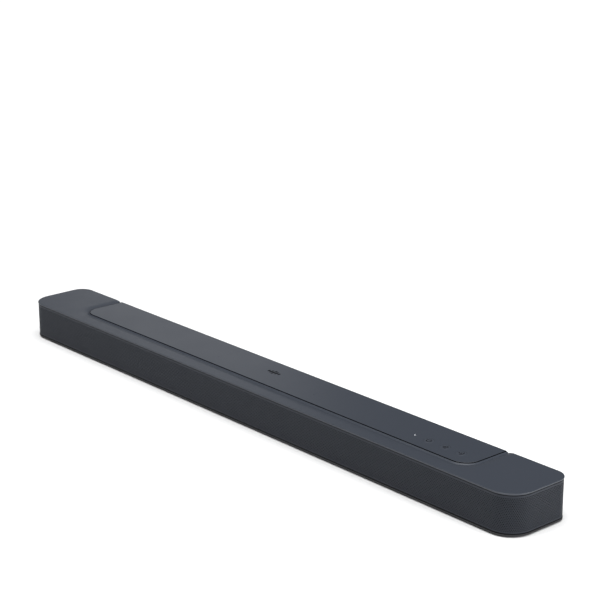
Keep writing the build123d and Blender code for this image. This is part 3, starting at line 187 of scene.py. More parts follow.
def moulded_black_abs(finish):
    """Black ABS of the rear and the baffle: coarser grain, with faint flow marks along the bar."""
    material, principled = new_material("moulded_black_abs", ior=1.54, roughness=0.6)
    place = object_place(material)
    mottle(material, principled, place, 30 * MM, "#191A1D", "#1F2023")
    emboss(material, principled, grain(material, place, 1.2 * MM), 0.02 * MM)
    return material


def key_abs(finish):
    """The keys are moulded from the panel's ABS and polished a little by fingers."""
    material, principled = new_material("key_abs", base_color=finish.panel_colour, ior=1.54, roughness=0.4)
    place = object_place(material)
    emboss(material, principled, grain(material, place, 0.6 * MM), 0.005 * MM)
    vary_roughness(material, principled, grain(material, place, 5 * MM), 0.34, 0.46)
    return material


def powder_coated_steel(finish):
    """Perforated steel with a matt charcoal powder coat: the coat lies in low waves, like orange peel."""
    material, principled = new_material(
        "powder_coated_steel",
        base_color=finish.steel_colour,
        specular_ior_level=0.3,
        roughness=finish.steel_roughness,
    )
    place = object_place(material)
    emboss(material, principled, grain(material, place, 1.5 * MM), 0.02 * MM)
    return material


def woven_polyester(finish):
    """Acoustic cloth: plain woven black polyester, with no gloss at all but a faint fuzz at its edges."""
    material, principled = new_material(
        "woven_polyester",
        base_color=finish.cloth_colour,
        ior=1.5,
        roughness=0.95,
        sheen_weight=0.2,
        sheen_roughness=0.5,
    )
    # real threads are 0.25 mm apart; they are drawn 0.8 mm apart so that they show through the holes
    emboss(material, principled, weave(material, object_place(material), 0.8 * MM), 0.1 * MM)
    return material


def ribbed_rubber(finish):
    """Moulded black rubber of the feet: ribs 2 mm apart across each foot grip the shelf."""
    material, principled = new_material("ribbed_rubber", ior=1.52, roughness=0.8)
    place = object_place(material)
    mottle(material, principled, place, 4 * MM, "#121213", "#1A1A1B")
    axes = add_node(material, "ShaderNodeSeparateXYZ", links={"Vector": place})
    phase = add_node(
        material, "ShaderNodeMath", {"operation": "MULTIPLY", 1: 2 * math.pi / (2 * MM)}, {0: (axes, "X")}
    )
    ribs = add_node(material, "ShaderNodeMath", {"operation": "SINE"}, {0: (phase, 0)})
    emboss(material, principled, (ribs, 0), 0.2 * MM)
    return material


def light_pipe(finish):
    """Frosted clear acrylic over a white LED: it glows softly when the bar is on."""
    material, principled = new_material(
        "light_pipe",
        base_color=linear("#F2F4F7"),
        ior=1.49,
        roughness=0.3,
        emission_color=linear("#F4F7FF"),
        emission_strength=0.6,
    )
    emboss(material, principled, grain(material, object_place(material), 0.3 * MM), 0.01 * MM)
    return material


# ---------------------------------------------------------------- finishes of the drivers and the inside
def black_coated_steel(finish):
    """Pressed steel baskets with a thin black dip coat, slightly uneven where it has run."""
    material, principled = new_material("black_coated_steel", ior=1.5, roughness=0.45)
    place = object_place(material)
    mottle(material, principled, place, 12 * MM, "#1B1C1E", "#26272A")
    emboss(material, principled, grain(material, place, 2 * MM), 0.02 * MM)
    return material


def butyl_rubber(finish):
    """The cones' rolls: soft black butyl rubber with a faint bloom."""
    material, principled = new_material("butyl_rubber", ior=1.52, roughness=0.65)
    place = object_place(material)
    mottle(material, principled, place, 6 * MM, "#141415", "#1E1E20")
    emboss(material, principled, grain(material, place, 0.8 * MM), 0.01 * MM)
    return material


def zinc_plated_steel(finish):
    """Zinc-plated steel of magnets and screws: bright, slightly blue, with crystal patches."""
    material, principled = new_material("zinc_plated_steel", metallic=1.0, roughness=0.35)
    place = object_place(material)
    mottle(material, principled, place, 3 * MM, "#A9AEB3", "#C3C7CA")
    cells = add_node(material, "ShaderNodeTexVoronoi", {"Scale": 1 / (2.5 * MM)}, {"Vector": place})
    vary_roughness(material, principled, (cells, "Distance"), 0.25, 0.45)
    return material


def pressed_paper(finish):
    """The cones: grey-black paper pulp, whose short fibres show as small streaks."""
    material, principled = new_material("pressed_paper", ior=1.45, roughness=0.9)
    place = object_place(material)
    mottle(material, principled, place, 1.5 * MM, "#202123", "#36373A")
    fibres = add_node(
        material,
        "ShaderNodeTexNoise",
        {"Scale": 1 / (1.2 * MM), "Detail": 6.0, "Distortion": 2.0},
        {"Vector": place},
    )
    emboss(material, principled, (fibres, "Fac"), 0.08 * MM)
    return material


def glass_filled_nylon(finish):
    """Tweeter bodies and spacers: glass-filled nylon, dull black with light streaks of fibre."""
    material, principled = new_material("glass_filled_nylon", ior=1.53, roughness=0.55)
    place = object_place(material)
    mottle(material, principled, place, 5 * MM, "#1A1A1C", "#242427")
    emboss(material, principled, grain(material, place, 0.7 * MM, 5.0), 0.015 * MM)
    return material


def coated_silk(finish):
    """Tweeter domes: woven silk under a thin clear coat, so the threads show but the dome shines softly."""
    material, principled = new_material(
        "coated_silk",
        base_color=linear("#1C1B20"),
        ior=1.5,
        roughness=0.5,
        coat_weight=0.4,
        coat_roughness=0.2,
    )
    emboss(material, principled, weave(material, object_place(material), 0.5 * MM), 0.03 * MM)
    return material


def turned_brass(finish):
    """Wall inserts: brass turned on a lathe, with fine rings across its face."""
    material, principled = new_material(
        "turned_brass", base_color=linear("#C9A45C"), metallic=1.0, roughness=0.3
    )
    rings = add_node(
        material,
        "ShaderNodeTexWave",
        {"wave_type": "BANDS", "bands_direction": "Y", "Scale": 1 / (20 * 0.4 * MM), "Distortion": 0.5},
        {"Vector": object_place(material)},
    )
    emboss(material, principled, (rings, "Fac"), 0.02 * MM)
    return material


def glass_epoxy_board(finish):
    """Circuit boards: glass-epoxy under green solder resist, with copper tracks showing as lighter lines."""
    material, principled = new_material("glass_epoxy_board", ior=1.55, roughness=0.35)
    place = object_place(material)
    tracks = add_node(
        material,
        "ShaderNodeTexBrick",
        {
            "Color1": linear("#14402A"),
            "Color2": linear("#184A30"),
            "Mortar": linear("#2C6B45"),
            "Scale": 1.0,
            "Mortar Size": 0.25 * MM,
            "Brick Width": 9 * MM,
            "Row Height": 2.2 * MM,
        },
        {"Vector": place},
    )
    material.node_tree.links.new(tracks.outputs["Color"], principled.inputs["Base Color"])
    emboss(material, principled, (tracks, "Fac"), 0.03 * MM)
    return material


def extruded_aluminium(finish):
    """The heat sink: extruded aluminium, with drawing lines along the fins."""
    material, principled = new_material("extruded_aluminium", metallic=1.0, roughness=0.4)
    place = object_place(material)
    stretch = add_node(material, "ShaderNodeMapping", {"Scale": (1.0, 0.05, 1.0)}, {"Vector": place})
    noise = mottle(material, principled, (stretch, "Vector"), 0.8 * MM, "#9A9DA1", "#B9BCBF")
    emboss(material, principled, (noise, "Fac"), 0.02 * MM)
    return material


def nickel_plated_steel(finish):
    """Socket shells: nickel-plated sheet steel, a warm bright grey with faint rolling marks."""
    material, principled = new_material("nickel_plated_steel", metallic=1.0, roughness=0.28)
    place = object_place(material)
    stretch = add_node(material, "ShaderNodeMapping", {"Scale": (0.1, 1.0, 1.0)}, {"Vector": place})
    noise = mottle(material, principled, (stretch, "Vector"), 0.5 * MM, "#A39F97", "#BBB7AE")
    emboss(material, principled, (noise, "Fac"), 0.01 * MM)
    return material


def polyester_moulding(finish):
    """Socket bodies: stiff black polyester (PBT), smoother than the cover with moulding clouds."""
    material, principled = new_material("polyester_moulding", ior=1.55, roughness=0.4)
    place = object_place(material)
    mottle(material, principled, place, 3 * MM, "#111113", "#18181A")
    emboss(material, principled, grain(material, place, 0.5 * MM), 0.006 * MM)
    return material


def smoked_acrylic(finish):
    """The display's window: smoked acrylic, dark until the figures behind it are lit."""
    material, principled = new_material("smoked_acrylic", ior=1.49, roughness=0.08, coat_weight=0.5)
    mottle(material, principled, object_place(material), 20 * MM, "#0B0B0D", "#101013")
    return material


# ---------------------------------------------------------------- finishes of the small added pieces
def screen_ink(finish):
    """Black screen-printed ink: it dries to a dead matt film, darker than the plastic from every side."""
    material, principled = new_material(
        "screen_ink", base_color=finish.ink_colour, ior=1.5, roughness=0.9, specular_ior_level=0.1
    )
    emboss(material, principled, grain(material, object_place(material), 0.3 * MM), 0.003 * MM)
    return material


def pale_ink(finish):
    """Pale grey screen-printed ink of the marks in the connector bays."""
    material, principled = new_material("pale_ink", ior=1.5, roughness=0.5)
    mottle(material, principled, object_place(material), 0.6 * MM, "#A9ACB0", "#B8BBBF")
    return material


def gold_plating(finish):
    """Contacts: hard gold over nickel, with fine wipe marks from plugs along their length."""
    material, principled = new_material("gold_plating", metallic=1.0, roughness=0.25)
    place = object_place(material)
    stretch = add_node(material, "ShaderNodeMapping", {"Scale": (1.0, 0.08, 1.0)}, {"Vector": place})
    noise = mottle(material, principled, (stretch, "Vector"), 0.15 * MM, "#C79A3B", "#DDB355")
    emboss(material, principled, (noise, "Fac"), 0.005 * MM)
    return material


def satin_foil(finish):
    """The blank rating plate: satin polyester foil, very slightly dimpled by its glue."""
    material, principled = new_material("satin_foil", ior=1.5, roughness=0.45)
    place = object_place(material)
    mottle(material, principled, place, 15 * MM, "#2A2B2E", "#303134")
    emboss(material, principled, grain(material, place, 2 * MM), 0.01 * MM)
    return material


def painted_shade_foam(finish):
    """Painted shade: a near-black sheet for the gap round the panel and the seams above and below the
    grille, where only shade falls, drawn as foam that swallows nearly all light.
    """
    material, principled = new_material("painted_shade_foam", ior=1.4, roughness=1.0, specular_ior_level=0.05)
    place = object_place(material)
    # painted shade: near-black colour so that the sheets read as the shadow inside the gaps
    mottle(material, principled, place, 1.0 * MM, "#050506", "#0A0A0B")
    cells = add_node(material, "ShaderNodeTexVoronoi", {"Scale": 1 / (0.5 * MM)}, {"Vector": place})
    emboss(material, principled, (cells, "Distance"), 0.05 * MM)
    return material


def lens_acrylic(finish):
    """The optical socket's lens: clear acrylic that looks dark red over its detector."""
    material, principled = new_material("lens_acrylic", ior=1.49, roughness=0.06, coat_weight=0.6)
    mottle(material, principled, object_place(material), 2 * MM, "#4A0C0C", "#6A1414")
    return material


SLOT_FINISHES = {
    "cover_plastic": spark_eroded_abs,
    "rear_plastic": moulded_black_abs,
    "panel_plastic": silk_matt_abs,
    "key_plastic": key_abs,
    "grille_steel": powder_coated_steel,
    "acoustic_cloth": woven_polyester,
    "foot_rubber": ribbed_rubber,
    "screw_steel": zinc_plated_steel,
    "insert_brass": turned_brass,
    "basket_steel": black_coated_steel,
    "roll_rubber": butyl_rubber,
    "magnet_steel": zinc_plated_steel,
    "cone_paper": pressed_paper,
    "driver_plastic": glass_filled_nylon,
    "dome_silk": coated_silk,
    "light_guide": light_pipe,
    "board_laminate": glass_epoxy_board,
    "sink_aluminium": extruded_aluminium,
    "socket_steel": nickel_plated_steel,
    "socket_plastic": polyester_moulding,
    "window_plastic": smoked_acrylic,
}
NODE_FINISHES = {"bottom_cover": moulded_black_abs}  # the lower lip is darker than the top cover


def finish_of(maker):
    """The material that maker makes. It is made once and then shared."""
    name = maker.__name__
    if name not in bpy.data.materials:
        maker(bpy.context.scene.soundbar_finish)
    return bpy.data.materials[name]


# ---------------------------------------------------------------- surfaces
def closed_sheet(faces, front, back):
    """A thin solid: the faces at the front points, the same faces turned round at the back points, and a
    wall along every edge that only one face has. Holes in the sheet get their walls in the same way."""
    count = len(front)
    starts = faces.ravel()
    ends = np.roll(faces, -1, axis=1).ravel()
    single = ~np.isin(starts * count + ends, ends * count + starts)
    a = starts[single]
    b = ends[single]
    walls = np.stack([a, a + count, b + count, b], axis=1)
    return np.vstack([front, back]), np.vstack([faces, faces[:, ::-1] + count, walls])


def strip(path, width):
    """A flat band: each point of a plane path moves half the width to the left and to the right of it,
    along the mitre of the two runs that meet there."""
    path = np.asarray(path, float)
    runs = np.diff(path, axis=0)
    runs /= np.linalg.norm(runs, axis=1)[:, None]
    before = np.vstack([runs[:1], runs])
    after = np.vstack([runs, runs[-1:]])
    mitre = before + after
    mitre /= np.linalg.norm(mitre, axis=1)[:, None]
    reach = np.broadcast_to(width, len(path)) / 2 / np.sum(mitre * after, axis=1)
    side = np.stack([-mitre[:, 1], mitre[:, 0]], axis=1) * reach[:, None]
    count = len(path)
    first = np.arange(count - 1)
    faces = np.stack([first + count, first + count + 1, first + 1, first], axis=1)
    return np.vstack([path + side, path - side]), faces


def arc(centre, radius, start, end, steps=32):
    """Points of a circle's arc between two angles in degrees."""
    angle = np.radians(np.linspace(start, end, steps))
    return np.stack([centre[0] + radius * np.cos(angle), centre[1] + radius * np.sin(angle)], axis=1)


def capsule(centre, length, width, steps=8):
    """An upright band with half-round ends: near each end its half width is that of a circle."""
    radius = width / 2
    turn = np.linspace(0.12, 1, steps) * math.pi / 2
    rise = radius * (1 - np.cos(turn))
    y = np.concatenate([rise, length - rise[::-1]]) - length / 2
    half = np.concatenate([radius * np.sin(turn), radius * np.sin(turn)[::-1]])
    path = np.stack([np.full(len(y), centre[0]), centre[1] + y], axis=1)
    return strip(path, 2 * half)


def rounded_plate(length, width, radius, steps=8):
    """A flat plate with rounded corners: within a radius of each end its width shrinks as a circle does."""
    turn = np.linspace(0.08, 1, steps) * math.pi / 2
    inwards = radius * (1 - np.cos(turn))
    x = np.concatenate([inwards, length - inwards[::-1]]) - length / 2
    lost = radius * (1 - np.sin(turn))
    half = width / 2 - np.concatenate([lost, lost[::-1]])
    return strip(np.stack([x, np.zeros(len(x))], axis=1), 2 * half)


def merged(shapes):
    """Several meshes as one: the faces of each are counted on from the points before it."""
    points = np.vstack([shape[0] for shape in shapes])
    offsets = np.cumsum([0] + [len(shape[0]) for shape in shapes[:-1]])
    faces = np.vstack([shape[1] + offset for shape, offset in zip(shapes, offsets)])
    return points, faces


def printed(shapes, origin, across, up, thickness):
    """Flat shapes laid on a plane: their first coordinate runs across and their second up, and the film
    stands out by its thickness."""
    flat, faces = merged(shapes)
    across = np.asarray(across, float)
    up = np.asarray(up, float)
    out = np.cross(across, up)
    back = np.asarray(origin, float) + flat[:, :1] * across + flat[:, 1:] * up
    return closed_sheet(faces, back + out * thickness, back)


def turned(radii, heights, origin, axis, across, steps=24):
    """A solid of revolution: the profile's points turn round the axis, and its two ends lie on the axis."""
    axis = np.asarray(axis, float)
    across = np.asarray(across, float)
    third = np.cross(axis, across)
    angle = np.arange(steps) * 2 * math.pi / steps
    ring = np.cos(angle)[:, None] * across + np.sin(angle)[:, None] * third
    rings = np.asarray(origin, float) + np.asarray(heights)[:, None, None] * axis
    points = rings + np.asarray(radii)[:, None, None] * ring[None, :, :]
    inner = points[1:-1].reshape(-1, 3)
    first = np.arange(len(radii) - 3)[:, None] * steps + np.arange(steps)[None, :]
    after = np.arange(len(radii) - 3)[:, None] * steps + (np.arange(steps) + 1)[None, :] % steps
    quads = np.stack([first, after, after + steps, first + steps], axis=2).reshape(-1, 4)
    low = len(inner)
    high = low + 1
    around = np.arange(steps)
    beyond = (around + 1) % steps
    last = (len(radii) - 3) * steps
    lids = [[low, int(j), int(i)] for i, j in zip(around, beyond)]
    lids += [[high, int(last + i), int(last + j)] for i, j in zip(around, beyond)]
    return np.vstack([inner, points[0, :1], points[-1, :1]]), quads.tolist() + lids


def put(name, shape, body, maker, smooth=False):
    """Makes the finished piece: its mesh at the origin, its material, its body and its slot."""
    points, faces = shape
    mesh = bpy.data.meshes.new(name)
    if isinstance(faces, np.ndarray):
        corners = faces.shape[1]
        mesh.vertices.add(len(points))
        mesh.vertices.foreach_set("co", np.asarray(points, np.float32).ravel())
        mesh.loops.add(faces.size)
        mesh.loops.foreach_set("vertex_index", faces.astype(np.int32).ravel())
        mesh.polygons.add(len(faces))
        mesh.polygons.foreach_set("loop_start", np.arange(0, faces.size, corners, dtype=np.int32))
        mesh.update(calc_edges=True)
    else:
        mesh.from_pydata(np.asarray(points).tolist(), [], faces)
    if mesh.validate():
        raise RuntimeError(f"{name} has faulty faces")
    mesh.polygons.foreach_set("use_smooth", np.full(len(mesh.polygons), smooth))
    mesh.materials.append(finish_of(maker))
    piece = bpy.data.objects.new(name, mesh)
    bpy.context.scene.collection.objects.link(piece)
    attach(piece, body)
    return piece


# ---------------------------------------------------------------- the perforated grille
FRONT_CORNER = 32.5 * MM  # plan radii of the grille's outer face
REAR_CORNER = 19.5 * MM
REAR_RETURN = 8 * MM  # straight run on the rear face
GRILLE_SHEET = 0.8 * MM
GRILLE_TRIM = 0.4 * MM  # the painted shade gaskets cover this much of the sheet's edges


def grille_runs():
    """(length, turn) of each straight run and arc of the grille's plan, from the rear left end round the
    front to the rear right one."""
    low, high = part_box("front_grille")
    quarter = math.pi / 2
    to_front = [
        (REAR_RETURN, 0),
        (quarter * REAR_CORNER, quarter),
        (high[1] - low[1] - FRONT_CORNER - REAR_CORNER, 0),
        (quarter * FRONT_CORNER, quarter),
    ]
    front = high[0] - low[0] - 2 * FRONT_CORNER
    return to_front + [(front, 0)] + to_front[::-1]


def along_grille(distance):
    """The plan point and the outward direction at each distance along the grille. Every run adds what it
    covers: a straight run its length along the heading, an arc its chord while the heading turns."""
    low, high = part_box("front_grille")
    heading = math.pi
    x = np.full(distance.shape, low[0] + REAR_CORNER + REAR_RETURN)
    y = np.full(distance.shape, high[1])
    facing = np.full(distance.shape, heading)
    left = distance.copy()
    for length, turn in grille_runs():
        covered = np.clip(left, 0, length)
        if turn:
            radius = length / turn
            bend = heading + turn * covered / length
            x += radius * (np.sin(bend) - math.sin(heading))
            y -= radius * (np.cos(bend) - math.cos(heading))
        else:
            x += covered * math.cos(heading)
            y += covered * math.sin(heading)
        facing += turn * covered / length
        left -= length
        heading += turn
    return np.stack([x, y], axis=-1), np.stack([np.sin(facing), -np.cos(facing)], axis=-1)


def hole_cells(cells, rows):
    """Faces of a sheet full of six-sided holes in staggered rows, and which cell column each belongs to.

    Line j and half step k of a cell's pitch meet in corner j * (2 * cells + 1) + k. Each odd row starts half
    a pitch late. A cell has six corners round it and six round its hole, joined by six four-sided faces."""
    steps = 2 * cells + 1
    corners = steps * (rows + 3)
    row = np.repeat(np.arange(rows), cells)
    column = np.tile(np.arange(cells), rows)
    inside = (row % 2 == 0) | (column < cells - 1)
    row = row[inside]
    column = column[inside]
    start = 2 * column + row % 2
    low = (row + 1) * steps + start
    high = low + steps
    outer = np.stack([low, low + 1, low + 2, high + 2, high + 1, high], axis=1)
    inner = corners + 6 * np.arange(len(row))[:, None] + np.array([5, 0, 1, 2, 3, 4])
    after = np.roll(outer, -1, axis=1)
    inner_after = np.roll(inner, -1, axis=1)
    faces = np.stack([outer, after, inner_after, inner], axis=2).reshape(-1, 4)
    middle = np.stack([start + 1, row], axis=1)
    return faces, np.repeat(column, 6), middle


def solid_cells(cells, rows):
    """Faces of the plain borders above and below the holes, and of the half cells at the sheet's ends."""
    steps = 2 * cells + 1
    k = np.arange(2 * cells)
    borders = [line * steps + k for line in (0, rows + 1)]
    odd = np.arange(1, rows, 2) + 1
    ends = [odd * steps, odd * steps + steps - 2]
    first = np.concatenate(borders + ends)
    column = np.concatenate([k // 2, k // 2, np.zeros(len(odd), int), np.full(len(odd), cells - 1)])
    return np.stack([first, first + 1, first + steps + 1, first + steps], axis=1), column


def grille_points(cells, rows, settings):
    """Distance along the grille and height of every corner, then of the six corners of every hole. A hole's
    corners lie on a circle, from its lowest point on, a sixth of a turn apart."""
    low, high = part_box("front_grille")
    total = sum(length for length, _ in grille_runs())
    pitch = total / cells
    holes_low = low[2] + settings.edge_low
    holes_high = high[2] - settings.edge_high
    rise = (holes_high - holes_low) / rows
    rows_z = np.linspace(holes_low, holes_high, rows + 1)
    lines = np.hstack([low[2] + GRILLE_TRIM, rows_z, high[2] - GRILLE_TRIM])
    grid_s, grid_z = np.meshgrid(np.arange(2 * cells + 1) * pitch / 2, lines)
    middle = hole_cells(cells, rows)[2]
    angle = np.radians(np.arange(6) * 60 - 90)
    reach = settings.hole_across / math.sqrt(3)
    hole_s = middle[:, :1] * pitch / 2 + reach * np.cos(angle)
    hole_z = holes_low + (middle[:, 1:] + 0.5) * rise + reach * np.sin(angle)
    return np.concatenate([grid_s.ravel(), hole_s.ravel()]), np.concatenate([grid_z.ravel(), hole_z.ravel()])


def grille_shapes(settings):
    """The grille as four closed pieces that interlock along their staggered rows, by name."""
    total = sum(length for length, _ in grille_runs())
    cells = round(total / settings.pitch)
    distance, height = grille_points(cells, settings.rows, settings)
    plan, outward = along_grille(distance)
    front = np.column_stack([plan, height])
    back = np.column_stack([plan - outward * GRILLE_SHEET, height])
    pierced, pierced_column, _ = hole_cells(cells, settings.rows)
    plain, plain_column = solid_cells(cells, settings.rows)
    faces = np.vstack([pierced, plain])
    column = np.concatenate([pierced_column, plain_column])
    end = round(sum(length for length, _ in grille_runs()[:4]) / settings.pitch)
    edges = {
        "left_end_grille": (0, end),
        "front_left_grille": (end, cells // 2),
        "front_right_grille": (cells // 2, cells - end),
        "right_end_grille": (cells - end, cells),
    }
    shapes = {}
    for name, (start, stop) in edges.items():
        own = faces[(column >= start) & (column < stop)]
        used, renumbered = np.unique(own, return_inverse=True)
        shapes[name] = closed_sheet(renumbered.reshape(-1, 4), front[used], back[used])
    return shapes


# ---------------------------------------------------------------- settings
class SoundbarFinish(bpy.types.PropertyGroup):
    """Colours and sheen of the surfaces that show most."""

    cover_colour: FloatVectorProperty(
        name="Cover",
        description="Colour of the top and bottom covers",
        size=4,
        subtype="COLOR",
        default=linear("#343942"),
    )
    cover_roughness: FloatProperty(
        name="Cover roughness",
        description="How matt the covers are",
        subtype="FACTOR",
        min=0,
        max=1,
        default=0.34,
    )
    panel_colour: FloatVectorProperty(
        name="Panel",
        description="Colour of the control panel and its keys",
        size=4,
        subtype="COLOR",
        default=linear("#343942"),
    )
    panel_roughness: FloatProperty(
        name="Panel roughness",
        description="How matt the control panel is",
        subtype="FACTOR",
        min=0,
        max=1,
        default=0.3,
    )
    steel_colour: FloatVectorProperty(
        name="Grille",
        description="Colour of the grille's powder coat",
        size=4,
        subtype="COLOR",
        default=linear("#2A2E36"),
    )
    steel_roughness: FloatProperty(
        name="Grille roughness",
        description="How matt the powder coat is",
        subtype="FACTOR",
        min=0,
        max=1,
        default=0.55,
    )
    cloth_colour: FloatVectorProperty(
        name="Cloth",
        description="Colour of the acoustic cloth",
        size=4,
        subtype="COLOR",
        default=linear("#15161A"),
    )
    ink_colour: FloatVectorProperty(
        name="Ink",
        description="Colour of the printing on the keys and the panel",
        size=4,
        subtype="COLOR",
        default=linear("#0E0F11"),
    )


class SoundbarGrille(bpy.types.PropertyGroup):
    """Sizes of the grille's perforation."""

    hole_across: FloatProperty(
        name="Hole",
        description="Distance between a hole's flat sides",
        unit="LENGTH",
        default=1.6 * MM,
    )
    pitch: FloatProperty(
        name="Pitch",
        description="Distance between neighbouring holes in a row",
        unit="LENGTH",
        default=2.6 * MM,
    )
    rows: IntProperty(name="Rows", description="Number of rows of holes", default=20)
    edge_low: FloatProperty(
        name="Lower border",
        description="Plain steel below the holes",
        unit="LENGTH",
        default=2.0 * MM,
    )
    edge_high: FloatProperty(
        name="Upper border",
        description="Plain steel above the holes",
        unit="LENGTH",
        default=2.6 * MM,
    )


class SoundbarPrint(bpy.types.PropertyGroup):
    """Sizes of the printing."""

    symbol: FloatProperty(
        name="Symbol",
        description="Half the width of a key's symbol",
        unit="LENGTH",
        default=4.0 * MM,
    )
    line: FloatProperty(
        name="Line",
        description="Width of the symbols' lines",
        unit="LENGTH",
        default=1.1 * MM,
    )
    film: FloatProperty(
        name="Film",
        description="Thickness of the ink",
        unit="LENGTH",
        default=0.03 * MM,
    )
    emblem_length: FloatProperty(
        name="Emblem",
        description="Length of the five-bar mark on the panel",
        unit="LENGTH",
        default=24 * MM,
    )
    emblem_height: FloatProperty(
        name="Emblem height",
        description="Height of the mark's middle bar",
        unit="LENGTH",
        default=12 * MM,
    )
    emblem_y: FloatProperty(
        name="Emblem place",
        description="How far behind the bar's middle the mark lies",
        unit="LENGTH",
        default=20 * MM,
    )


class SoundbarStage(bpy.types.PropertyGroup):
    """Camera, floor and lights."""

    azimuth: FloatProperty(
        name="Azimuth",
        description="Camera's turn from the front towards the right end",
        subtype="ANGLE",
        default=math.radians(48.72),
    )
    elevation: FloatProperty(
        name="Elevation",
        description="Camera's height above the horizon",
        subtype="ANGLE",
        default=math.radians(17.47),
    )
    distance: FloatProperty(
        name="Distance",
        description="From the origin to the camera's plane",
        unit="LENGTH",
        default=2.3946,
    )
    lens: FloatProperty(
        name="Lens",
        description="Focal length for a 36 mm sensor",
        unit="CAMERA",
        default=103.18,
    )
    slide: FloatVectorProperty(
        name="Slide",
        description="Camera's move to its right and up, across its view",
        size=2,
        unit="LENGTH",
        default=(0.05105, 0.15767),
    )
    ceiling_power: FloatProperty(
        name="Ceiling",
        description="Strength of the broad light from above",
        default=3.6,
    )
    rear_power: FloatProperty(
        name="Rear light",
        description="Power of the soft light behind the left end",
        unit="POWER",
        default=2.2,
    )
    end_power: FloatProperty(
        name="End light",
        description="Power of the soft light at the right end",
        unit="POWER",
        default=32.0,
    )
    room_light: FloatProperty(
        name="Room",
        description="Brightness of the room round the stage",
        default=0.12,
    )
    floor_colour: FloatVectorProperty(
        name="Floor",
        description="Colour of the studio floor",
        size=4,
        subtype="COLOR",
        default=linear("#F4F4F4"),
    )


# ---------------------------------------------------------------- sizes of the small added pieces
PANEL_CORNER = 22 * MM  # plan radius of the panel's front corners
# the seal and the gaskets are near-black sheets of painted shade in the gaps
SHADE_SEAL_SHEET = 0.8 * MM
SHADE_SEAL_CLEARANCE = 0.05 * MM
SHADE_SEAL_BELOW_FACE = 0.2 * MM
GRILLE_SEAM = 0.9 * MM
SHADE_GASKET_SET_BACK = 0.15 * MM
SHADE_GASKET_SHEET = 0.8 * MM
SHADE_GASKET_COLUMNS = 400  # points along each painted shade gasket
TONGUE_SET_BACK = 1 * MM  # from a socket's mouth to its contact tongue
PLATING = 0.04 * MM
INLET_CAVITY = 12 * MM
INLET_PIN_X = 4.3 * MM
OPTICAL_CAVITY = 14 * MM
BAY_WALL = 2 * MM
MARK_BELOW_BAY = 5.6 * MM
PLATE_LENGTH = 70 * MM
PLATE_WIDTH = 26 * MM
PLATE_Y = 8 * MM
PLATE_SHEET = 0.1 * MM


# ---------------------------------------------------------------- the studio, in metres
CEILING_SPREAD = math.radians(70)
CEILING_TILT = math.radians(10)
FLOOR_HALF = 40.0
# place, target and size of each softbox
REAR_BOX = ((-3.66, 2.59, 1.5), (-0.1, 0, 0), (1.1, 1.3))
END_BOX = ((2.4, 0.6, 0.9), (0.4, 0, 0), (1.4, 1.2))


# ---------------------------------------------------------------- operators
def origin_of(node):
    """The middle of a node's box, with its lowest and highest corners."""
    low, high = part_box(node)
    return [(a + b) / 2 for a, b in zip(low, high)], low, high


class SOUNDBAR_OT_stage(bpy.types.Operator):
    """Camera, pale floor and soft studio lights"""

    bl_idname = "soundbar.stage"
    bl_label = "Stage"

    def execute(self, context):
        stage = context.scene.soundbar_stage
        sin_a = math.sin(stage.azimuth)
        cos_a = math.cos(stage.azimuth)
        sin_e = math.sin(stage.elevation)
        cos_e = math.cos(stage.elevation)
        back = Vector((sin_a * cos_e, -cos_a * cos_e, sin_e))
        right = Vector((cos_a, sin_a, 0))
        up = Vector((-sin_e * sin_a, sin_e * cos_a, cos_e))
        camera_data = bpy.data.cameras.new("camera")
        camera_data.sensor_width = 36
        camera_data.lens = stage.lens
        camera_data.clip_end = 100
        camera = bpy.data.objects.new("camera", camera_data)
        context.scene.collection.objects.link(camera)
        place = back * stage.distance + right * stage.slide[0] + up * stage.slide[1]
        turn = Matrix((right, up, back)).transposed()
        camera.matrix_world = Matrix.LocRotScale(place, turn, None)
        context.scene.camera = camera
        self.floor(stage)
        self.world(context)
        self.ceiling(stage)
        self.softbox("rear_left", *REAR_BOX, stage.rear_power)
        self.softbox("right_end", *END_BOX, stage.end_power)
        context.scene.view_settings.view_transform = "Standard"
        return {"FINISHED"}

    def floor(self, stage):
        """A wide flat floor that lies just under the feet."""
        material, principled = new_material("painted_floor", roughness=0.9)
        principled.inputs["Base Color"].default_value = stage.floor_colour
        emboss(material, principled, grain(material, object_place(material), 20 * MM), 0.02 * MM)
        mesh = bpy.data.meshes.new("floor")
        half = FLOOR_HALF
        corners = [(-half, -half, 0), (half, -half, 0), (half, half, 0), (-half, half, 0)]
        mesh.from_pydata(corners, [], [(0, 1, 2, 3)])
        mesh.materials.append(material)
        floor = bpy.data.objects.new("floor", mesh)
        bpy.context.scene.collection.objects.link(floor)

    def world(self, context):
        """An even pale room."""
        room = bpy.data.worlds.new("room")
        room.use_nodes = True
        background = room.node_tree.nodes["Background"]
        background.inputs["Color"].default_value = linear("#F2F4F7")
        background.inputs["Strength"].default_value = context.scene.soundbar_stage.room_light
        context.scene.world = room

    def ceiling(self, stage):
        """Broad light from above and a little in front, so wide that its shadows have no edge."""
        data = bpy.data.lights.new("ceiling", "SUN")
        data.energy = stage.ceiling_power
        data.angle = CEILING_SPREAD
        light = bpy.data.objects.new("ceiling", data)
        light.matrix_world = Matrix.Rotation(CEILING_TILT, 4, "X")
        bpy.context.scene.collection.objects.link(light)

    def softbox(self, name, place, target, size, power):
        """A rectangular area light that faces its target."""
        data = bpy.data.lights.new(name, "AREA")
        data.shape = "RECTANGLE"
        data.size, data.size_y = size
        data.energy = power
        light = bpy.data.objects.new(name, data)
        aim = Vector(place) - Vector(target)
        light.matrix_world = Matrix.LocRotScale(Vector(place), aim.to_track_quat("Z", "Y"), None)
        bpy.context.scene.collection.objects.link(light)


